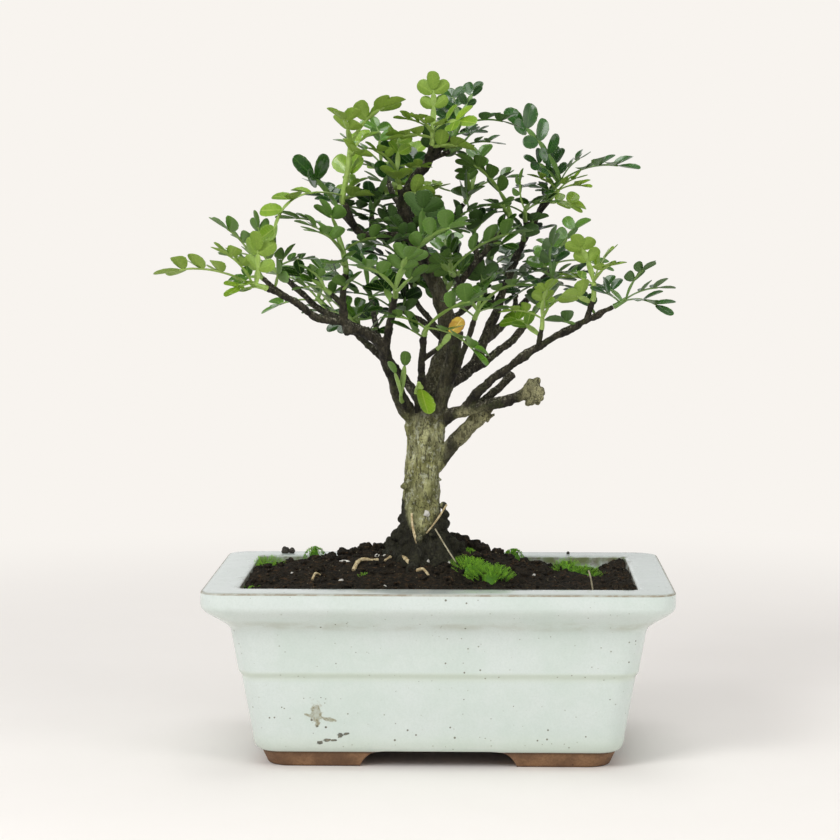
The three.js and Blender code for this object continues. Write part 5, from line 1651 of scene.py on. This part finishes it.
# %% One leaflet
ROWS = 12
COLUMNS = 3
TEETH = 6
BLADE_THICKNESS = 0.34


def outline_at(row):
    """How far along a leaflet a row is, and how wide it is there, both as shares of the whole."""
    turn = math.pi * row / ROWS
    along = (1 - math.cos(turn)) / 2
    return along, max(0.06, math.sin(turn) ** 0.88 * (0.84 + 0.26 * along))


def leaflet(origin, out, across, up, length, width, cup, droop, twist):
    """Points, faces and marks of one leaflet."""
    points, marks = [], []
    upper = np.zeros((ROWS + 1, 2 * COLUMNS + 1), dtype=int)
    lower = upper.copy()
    for row in range(ROWS + 1):
        t, share = outline_at(row)
        tooth = 1 + (0.03 if row % 2 else -0.02) * (t > 0.2)
        half = share * width / 2 * tooth
        for column in range(-COLUMNS, COLUMNS + 1):
            s = column / COLUMNS
            along = length * (t + 0.015 * s * s * t ** 4)
            rise = cup * (s * half) ** 2 / width - droop * length * t * t + twist * s * half * t
            groove = -0.16 * math.exp(-(s * 3.2) ** 2) * math.sin(math.pi * min(1, t * 1.1))
            place = origin + out * along + across * s * half + up * (rise + groove)
            edge = abs(column) == COLUMNS or row in (0, ROWS)
            thick = 0.0 if edge else BLADE_THICKNESS / 2 * (1 - s * s)
            i, j = row, column + COLUMNS
            upper[i, j] = len(points)
            points.append(place + up * thick)
            marks.append(((s + 1) / 2, t, 0.5 if edge else 0.0))
            if edge:
                lower[i, j] = upper[i, j]
            else:
                lower[i, j] = len(points)
                points.append(place - up * thick)
                marks.append(((s + 1) / 2, t, 1.0))
    faces = []
    for i in range(ROWS):
        for j in range(2 * COLUMNS):
            faces.append((upper[i, j], upper[i + 1, j], upper[i + 1, j + 1], upper[i, j + 1]))
            faces.append((lower[i, j], lower[i, j + 1], lower[i + 1, j + 1], lower[i + 1, j]))
    return points, faces, marks

# %% [markdown]
# The rib between the leaflets has a thin wing on each side. The wings widen towards each pair and pinch
# in at it, which gives the rib its jointed look. It is a closed bar with eight corners round it: two
# wings, a shallow channel on top, and a rounded keel below.

# %% The winged rib
RIB_SECTION = [(1.0, 0.06), (0.45, 0.17), (0.0, 0.06), (-0.45, 0.17), (-1.0, 0.06), (-0.42, -0.16),
               (0.0, -0.30), (0.42, -0.16)]


def pair_places(rib):
    """Where the pairs of leaflets stand along a rib."""
    last = rib.tip_start - 0.18 * rib.size
    count = 1 + int(max(0.0, last - 0.2 * rib.length) / (0.74 * rib.size)) if rib.pairs else 0
    return [last - 0.74 * rib.size * i for i in reversed(range(count))]


def wing(distance, joints, full):
    """Half the width of the rib at a distance along it."""
    before = max([joint for joint in joints if joint <= distance], default=0.0)
    after = min([joint for joint in joints if joint > distance], default=None)
    if after is None:
        return 0.3 * full
    share = (distance - before) / (after - before)
    return full * (0.42 + 0.58 * math.sin(math.pi * min(1.0, 0.12 + 0.88 * share) ** 1.6) ** 0.8)


def winged_rib(rib, full):
    joints = pair_places(rib) or [rib.tip_start]
    steps = max(8, int(rib.tip_start / 0.6))
    rings = []
    for step in range(steps + 1):
        distance = rib.tip_start * step / steps
        point, _, up, side = rib.at(distance)
        half = wing(distance, joints, full)
        rise = 0.7 + 0.5 * full
        rings.append(np.array([point + side * x * half + up * y * rise for x, y in RIB_SECTION]))
    return loft(rings)

# %% [markdown]
# The tone of a leaf tells its age. Young leaves are lime and satin, grown ones are a deeper green, and
# the oldest are nearly bottle green with a wax that mirrors the sky. Within a tone, leaves deep in the
# crown are darker and duller, partly for their age and partly as painted shade. Undersides are paler and
# dull. The middle rib and the side veins are lighter lines, and in each notch of the edge sits a tiny
# clear oil gland, which is what gives the pepper its scent. One node group draws veins and glands for all
# tones.

# %% Leaf veins and glands, as a node group
def veins_group():
    group, given, out = new_group(
        "leaf_veins", [("Side Veins", FLOAT, 7.0), ("Slant", FLOAT, 0.55)],
        [("Midrib", FLOAT), ("Veins", FLOAT), ("Glands", FLOAT), ("Edge", FLOAT)])
    plan = add(group, "ShaderNodeSeparateXYZ", {0: add(group, "ShaderNodeTexCoord").outputs["UV"]}).outputs
    across = maths("ABSOLUTE", minus(times(plan[0], 2), 1))
    along = plan[1]
    feed(out["Midrib"], span(across, 0.11, 0.03))
    slanted = minus(along, times(across, times(given["Slant"], 0.4)))
    wave = maths("FRACT", times(slanted, given["Side Veins"]))
    line = span(maths("ABSOLUTE", minus(wave, 0.5)), 0.12, 0.03)
    feed(out["Veins"], times(line, span(across, 0.95, 0.6)))
    notch = maths("FRACT", times(along, float(TEETH) + 0.5))
    near_notch = span(maths("ABSOLUTE", minus(notch, 0.5)), 0.16, 0.08)
    rim = times(span(across, 0.82, 0.88), span(across, 0.97, 0.92))
    feed(out["Glands"], times(near_notch, rim))
    feed(out["Edge"], span(across, 0.86, 1))
    return group


LEAF_VEINS = veins_group()

# %% The materials of leaves and stems
def leaf_material(name, light, deep, vein, underside, gloss, vein_share, wax):
    """A leaf blade: two tones that mix by leaf, deeper inside the crown as partly painted shade, its vein
    colour, its underside and its gloss.
    """
    made, tree, shader = new_material(name)
    lines = use(tree, LEAF_VEINS)
    tint = marked(tree, "tint")
    under = marked(tree, "underside")
    cloud = mottle(tree, 3.5, 4, 0.35, 0.68)
    grain = mottle(tree, 0.5, 3, 0.3, 0.7)
    # The tint grows with a leaf's depth in the crown, so inner leaves take the deep tone, partly for age and
    # partly as painted shade; their gloss and wax fade with it
    colour = blend(tint, light, deep)
    colour = blend(times(cloud, 0.3), colour, deep)
    colour = blend(times(lines["Edge"], 0.3), colour, light)
    veins = most(times(lines["Midrib"], vein_share), times(lines["Veins"], 0.38 * vein_share))
    colour = blend(veins, colour, vein)
    colour = paint(colour, (196, 206, 160), lines["Glands"], 0.5)
    colour = blend(times(under, 0.75), colour, underside)
    colour = paint(colour, (30, 44, 18), grain, 0.22)
    rough = plus(between(cloud, gloss, gloss + 0.1), times(under, 0.22))
    feed(shader["Specular IOR Level"], between(tint, 0.5, 0.12))
    shader["Coat Roughness"].default_value = 0.1
    waxy = times(between(under, wax, 0), span(tint, 0.95, 0.35))
    feed(shader["Coat Weight"], waxy)
    height = minus(times(grain, 0.25), plus(times(lines["Veins"], 0.5), lines["Midrib"]))
    finish(shader, colour, rough, height, 0.04)
    return made


def withered_material():
    made, tree, shader = new_material("withered_leaf")
    lines = use(tree, LEAF_VEINS)
    cloud = mottle(tree, 2, 5, 0.36, 0.64)
    colour = blend(cloud, tone(198, 170, 60), tone(172, 134, 44))
    dry = times(lines["Edge"], between(cloud, 0.4, 1))
    colour = paint(colour, (118, 78, 38), dry)
    colour = paint(colour, (222, 200, 120), lines["Midrib"], 0.6)
    finish(shader, colour, between(cloud, 0.5, 0.7), cloud, 0.12)
    return made


def stem_material():
    """Green stems and winged ribs, lighter than the blades, with olive streaks."""
    made, tree, shader = new_material("green_stem")
    tint = marked(tree, "tint")
    streak = mottle(tree, 1.6, 4, 0.35, 0.65)
    colour = blend(tint, tone(170, 198, 100), tone(84, 126, 56))
    colour = paint(colour, (112, 128, 62), streak, 0.4)
    finish(shader, colour, between(streak, 0.36, 0.5), streak, 0.08)
    return made


BLADES = {
    "young": leaf_material("young_leaf", tone(138, 174, 34), tone(72, 116, 17), tone(176, 198, 86),
                           tone(140, 168, 70), 0.34, 0.6, 0.3),
    "mature": leaf_material("mature_leaf", tone(108, 164, 42), tone(15, 48, 9), tone(140, 176, 80),
                            tone(98, 130, 60), 0.24, 0.5, 0.9),
    "glossy": leaf_material("glossy_leaf", tone(52, 106, 32), tone(6, 22, 7), tone(92, 134, 62),
                           tone(82, 112, 56), 0.18, 0.4, 1.0),
    "withered": withered_material(),
}
GREEN_STEM = stem_material()

# %% Dressing the shoots
STEM_TINT = {"young": 0.15, "mature": 0.55, "glossy": 0.9, "withered": 0.5}
BREADTH = {"young": (0.7, 0.84), "mature": (0.6, 0.72), "glossy": (0.64, 0.76), "withered": (0.7, 0.8)}


class Foliage(Heap):
    """A heap that also keeps each point's place on its blade, its face and its tint."""

    def __init__(self):
        super().__init__()
        self.plan = []
        self.tints = []

    def put_green(self, points, faces, tint):
        self.put(points, faces, 1)
        self.plan += [(0.5, 0.5, 0.0)] * len(points)
        self.tints += [tint] * len(points)

    def put_leaflet(self, blade, tint):
        points, faces, marks = blade
        self.put(points, faces, 0)
        self.plan += marks
        self.tints += [tint] * len(points)

    def shoot(self, name, materials):
        made = self.piece(name, materials)
        plan = np.array(self.plan)
        mark(made.data, "underside", plan[:, 2])
        mark(made.data, "tint", self.tints)
        corners = np.empty(len(made.data.loops), dtype=int)
        made.data.loops.foreach_get("vertex_index", corners)
        made.data.uv_layers.new(name="UVMap").data.foreach_set("uv", plan[corners, :2].ravel())
        return made

# %% Leaves on their shoots
def put_leaf(heap, rib, tone_name, draw):
    """A leaf with all its pairs of leaflets, each a little different from the next."""
    # Leaves deep in the crown get a higher tint and so a deeper tone: partly older leaves, partly painted
    # shade
    depth = 1.25 - np.linalg.norm(rib.tip - CROWN_HEART) / CROWN_RADIUS
    age_and_shade_tint = min(1.0, max(0.0, depth + draw.uniform(-0.4, 0.4)))
    full = 0.6 + 0.07 * rib.size
    heap.put_green(*winged_rib(rib, full), STEM_TINT[tone_name] + draw.uniform(-0.1, 0.1))
    joints = pair_places(rib)
    for i, distance in enumerate(joints):
        point, forward, up, side = rib.at(distance)
        grown = 0.8 + 0.18 * (i + 1) / len(joints)
        for sign in (-1, 1):
            ahead = math.radians(LEAFLET_FORWARD + draw.uniform(-9, 9))
            out = unit(side * sign * math.cos(ahead) + forward * math.sin(ahead)
                       + up * math.tan(math.radians(LEAFLET_FOLD + draw.uniform(-12, 20))))
            across = unit(np.cross(up, out))
            length = rib.size * grown * draw.uniform(0.92, 1.06)
            start = point + side * sign * 0.3
            width = length * draw.uniform(*BREADTH[tone_name])
            blade = leaflet(start, out, across, unit(np.cross(out, across)), length, width,
                            draw.uniform(0.1, 0.7), draw.uniform(0.0, 0.12), draw.uniform(-0.15, 0.15))
            heap.put_leaflet(blade, min(1, max(0, age_and_shade_tint + draw.uniform(-0.25, 0.25))))
    point, forward, up, side = rib.at(rib.tip_start)
    length = rib.size * draw.uniform(0.96, 1.04)
    width = rib.size * draw.uniform(*BREADTH[tone_name])
    blade = leaflet(point, forward, side, up, length, width, draw.uniform(0.1, 0.6),
                    draw.uniform(0.0, 0.1), 0.0)
    heap.put_leaflet(blade, age_and_shade_tint)


def build_shoots():
    for number, (carrier, tone_name, steps, _) in enumerate(SHOOTS):
        draw = random.Random(100 + number)
        heap = Foliage()
        control, radius = stem_of(carrier, steps)
        points, shares = route_points(control, 0.8)
        heap.put_green(*round_wood(points, radius * (1 - 0.2 * shares), 10), STEM_TINT[tone_name])
        for leaf in grown_leaves:
            if leaf["owner"] == carrier:
                put_leaf(heap, leaf["rib"], tone_name, draw)
        piece = heap.shoot(f"leafy_{carrier}", [BLADES[tone_name], GREEN_STEM])
        dress(piece, [f"shoot_{carrier}"], crease=75.0)


build_shoots()

# %% [markdown]
# Moss is hundreds of sprigs. Each sprig is a short stem with rows of tiny pointed leaves, and each of
# those is a closed sliver with four faces, so a whole cushion stays light. The sprigs stand on a dark
# green mound that is sunk in the soil, so no soil shows between them. The feathery kind lies over and
# reaches out, and the cushion kind stands upright and close.

# %% Moss
# Each patch is its middle, its reach along X and Y, its height, the number of its sprigs, their length
# and how far they lean out
MOSSES = [
    ((-63.5, 27), (5, 9), 2.6, 110, 2.8, 0.9), ((-47, 37), (4.6, 2.2), 6.2, 200, 0.9, 0.2),
    ((10.5, -15), (5, 6), 2.4, 130, 3.6, 0.9), ((17.5, -22), (6.2, 6), 3.4, 200, 4, 0.9),
    ((26.5, 35), (4.2, 3), 5.4, 190, 0.9, 0.2), ((45, 6), (3.6, 4.5), 4, 80, 3.4, 0.9),
    ((51, 10), (6, 7), 2.6, 120, 3.4, 1), ((-66, -27), (4.5, 2.6), 0.5, 60, 0.8, 0.3),
    ((8, 1), (4.5, 4.5), 1.8, 100, 0.9, 0.2), ((-60, 38.5), (9, 0.9), 0.5, 60, 0.8, 0.3),
    ((-27, -20), (0.9, 0.9), 0.4, 6, 2.2, 0.9)]


def sprig(foliage, root, lean, length, draw):
    """A curved stem with tiny leaves on all sides."""
    tint = draw.random()
    side = unit(np.cross(lean, [draw.uniform(-1, 1), draw.uniform(-1, 1), 0.3]))
    steps = 4 + int(length * 2.2)
    for step in range(steps):
        share = (step + 0.5) / steps
        point = root + lean * length * share - np.array([0, 0, 0.16 * length * share * share])
        turn = step * 2.4
        out = unit(side * math.cos(turn) + np.cross(lean, side) * math.sin(turn) + lean * 0.8)
        blade = (0.55 + 0.1 * length) * (1.1 - 0.5 * share)
        width = np.cross(out, lean) * 0.13
        points = [point + width, point - width, point + 0.12 * lean - 0.06 * out, point + out * blade]
        foliage.put(points, [(0, 1, 2), (0, 3, 1), (1, 3, 2), (2, 3, 0)], 0)
        foliage.tints += [min(1.0, 0.2 + 0.4 * share + 0.5 * tint)] * 4


def moss_material():
    made, tree, shader = new_material("moss")
    cloud = mottle(tree, 3, 3, 0.35, 0.65)
    young = times(marked(tree, "tint"), between(cloud, 0.55, 1))
    finish(shader, blend(young, tone(44, 106, 8), tone(172, 236, 62)), between(cloud, 0.5, 0.7), cloud, 0.1)
    return made

# %% Setting the moss in the soil
def build_moss():
    moss = Foliage()
    draw = random.Random(31)
    core_points, core_faces = ball(3)
    for number, (middle, reach, height, count, length, lean_out) in enumerate(MOSSES):
        ground = crumbly_height(*middle)
        stretch = np.array([reach[0] * 0.5, reach[1] * 0.5, height])
        core = dented(core_points, 0.3, 0.6, number) * stretch + np.array([*middle, ground - 0.9])
        moss.put(core, core_faces, 0)
        moss.tints += [0.25] * len(core)
        for _ in range(count):
            turn, out = draw.uniform(0, math.tau), math.sqrt(draw.random())
            x, y = middle[0] + reach[0] * out * math.cos(turn), middle[1] + reach[1] * out * math.sin(turn)
            dome = height * math.sqrt(max(0.0, 1 - out * out))
            root = np.array([x, y, max(crumbly_height(x, y) - 0.2, ground - 0.9 + dome)])
            lean = unit(np.array([math.cos(turn) * out * lean_out + draw.uniform(-0.4, 0.4) * lean_out,
                                  math.sin(turn) * out * lean_out + draw.uniform(-0.4, 0.4) * lean_out, 0.8]))
            sprig(moss, root, lean, length * draw.uniform(0.7, 1.1), draw)
    piece = moss.piece("moss", [moss_material()])
    mark(piece.data, "tint", moss.tints)
    dress(piece, [], crease=180.0)


build_moss()

# %% [markdown]
# What lies on the soil is listed one by one: pale roots that surface near the trunk, a straw that leans on
# it, white grit, and a few seeds on the rim. Each root that lies on it follows the soil's own height at its
# points, so it touches the ground from any side.

# %% Surface roots, straw, grit and seeds
# Each root is its radius at both ends and its points, with their height over the soil
SURFACE_ROOTS = [
    (0.75, 0.55, [(-30, -14, 0.3), (-28.7, -11, 0.8), (-26.5, -8.6, 0.9), (-21.5, -7.6, 0.2)]),
    (0.35, 1.15, [(-19.4, -8.6, 0.3), (-16, -6.8, 1), (-12.6, -6.2, 1.6), (-10.5, -5, 0.8)]),
    (0.95, 0.6, [(-14.9, -8, 0.4), (-12.2, -11, 0.9), (-9, -15.6, 0.3)]),
    (0.7, 0.4, [(-7.5, -19, 0.2), (-5.5, -20.5, 0.6), (-3.5, -22, 0.1)]),
    (0.5, 0.3, [(-44, -20, 0.2), (-43, -17, 0.8), (-41.5, -15.5, 0.1)])]
# Roots that stand free of the soil, with their points as places
FREE_ROOTS = [
    (0.4, 0.55, [(-9.9, -6.2, 84.5), (-9.5, -8, 80), (-8.4, -9.6, 76.4), (-7.3, -9.4, 73)]),
    (0.3, 0.36, [(-4.6, -9.2, 78), (-2.2, -10.4, 81.2), (0.2, -9.6, 84.4), (2.4, -6, 87.6)]),
    (0.24, 0.24, [(-1.6, -9.4, 79.6), (2.6, -10.8, 72.8), (6.9, -12.6, 66.4)]),
    (0.28, 0.28, [(51.6, -21.2, 66.8), (52.4, -21.2, 64), (53.2, -20.8, 59.6)])]
# White bits are a place, a height over the soil and a size along X, Y and Z
WHITE_BITS = [((-33.2, -7), 0.7, (2, 0.8, 0.5)), ((-22.2, -4.9), 0.5, (0.9, 0.7, 0.6)),
              ((-19.4, -5.4), 0.4, (0.7, 0.6, 0.5)), ((-7.4, -10.4), 0.6, (1, 0.5, 0.9)),
              ((-4, -11.6), 0.6, (0.5, 0.4, 1.2)), ((-33.7, -24.5), 0.5, (0.8, 0.6, 0.4)),
              ((-18.3, -30), 0.3, (0.5, 0.5, 0.4)), ((3.4, -13), 0.4, (0.4, 0.4, 0.4)),
              ((33, -12), 0.4, (0.5, 0.4, 0.4)), ((-52, -8), 0.4, (0.5, 0.4, 0.3))]
TRUNK_FLAKE = ((-4.6, -6.9, 84.6), (1.0, 0.35, 1.1))
RIM_SEEDS = [(-58.7, 46, 1.4), (-56.3, 46, 1.2), (24.5, 46.5, 0.7), (28, 46, 0.5), (47, 46.2, 0.6)]


def dry_material(name, light, dark):
    made, tree, shader = new_material(name)
    fine = mottle(tree, 0.4, 3, 0.35, 0.7)
    colour = blend(mottle(tree, 1.2, 5, 0.36, 0.66), light, dark)
    finish(shader, blend(times(fine, 0.3), colour, dark), between(fine, 0.55, 0.8), fine, 0.12)
    return made

# %% Laying them on the soil and the rim
def build_litter():
    roots, grit = Heap(), Heap()
    lifted = [(first, last, [(x, y, crumbly_height(x, y) + lift) for x, y, lift in places])
              for first, last, places in SURFACE_ROOTS]
    for number, (first, last, places) in enumerate(lifted + FREE_ROOTS):
        points, shares = route_points(np.array(places, dtype=float), 0.4)
        swell = np.array([1 + 0.25 * noise.noise(Vector(point) * 1.3) for point in points])
        is_straw = first < 0.3
        radii = (first + (last - first) * shares) * (1 if is_straw else swell)
        middle = points if is_straw else swayed(points, 1.0, 90 + number)
        roots.put(*round_wood(middle, radii, 10), int(is_straw))
    pebble, pebble_faces = ball(3)
    for number, ((x, y), lift, size) in enumerate(WHITE_BITS):
        place = np.array([x, y, crumbly_height(x, y) + lift * 0.6])
        grit.put(dented(pebble, 0.5, 0.8, number) * size + place, pebble_faces, 0)
    place, size = TRUNK_FLAKE
    grit.put(dented(pebble, 0.4, 0.9, 40) * size + np.array(place), pebble_faces, 0)
    for number, (x, y, radius) in enumerate(RIM_SEEDS):
        seed = dented(pebble, 0.35, 0.9, 50 + number) * radius
        grit.put(seed + np.array([x, y, POT_HEIGHT + radius * 0.8]), pebble_faces, 1)
    pale_root = dry_material("pale_root", tone(224, 208, 166), tone(170, 146, 102))
    straw = dry_material("straw", tone(206, 198, 170), tone(168, 158, 124))
    dress(roots.piece("surface_roots", [pale_root, straw]), [], crease=80.0)
    white_grit = dry_material("white_grit", tone(232, 230, 222), tone(198, 194, 184))
    dark_seed = dry_material("dark_seed", tone(64, 58, 48), tone(36, 31, 25))
    dress(grit.piece("grit_and_seeds", [white_grit, dark_seed]), [], crease=80.0)


build_litter()
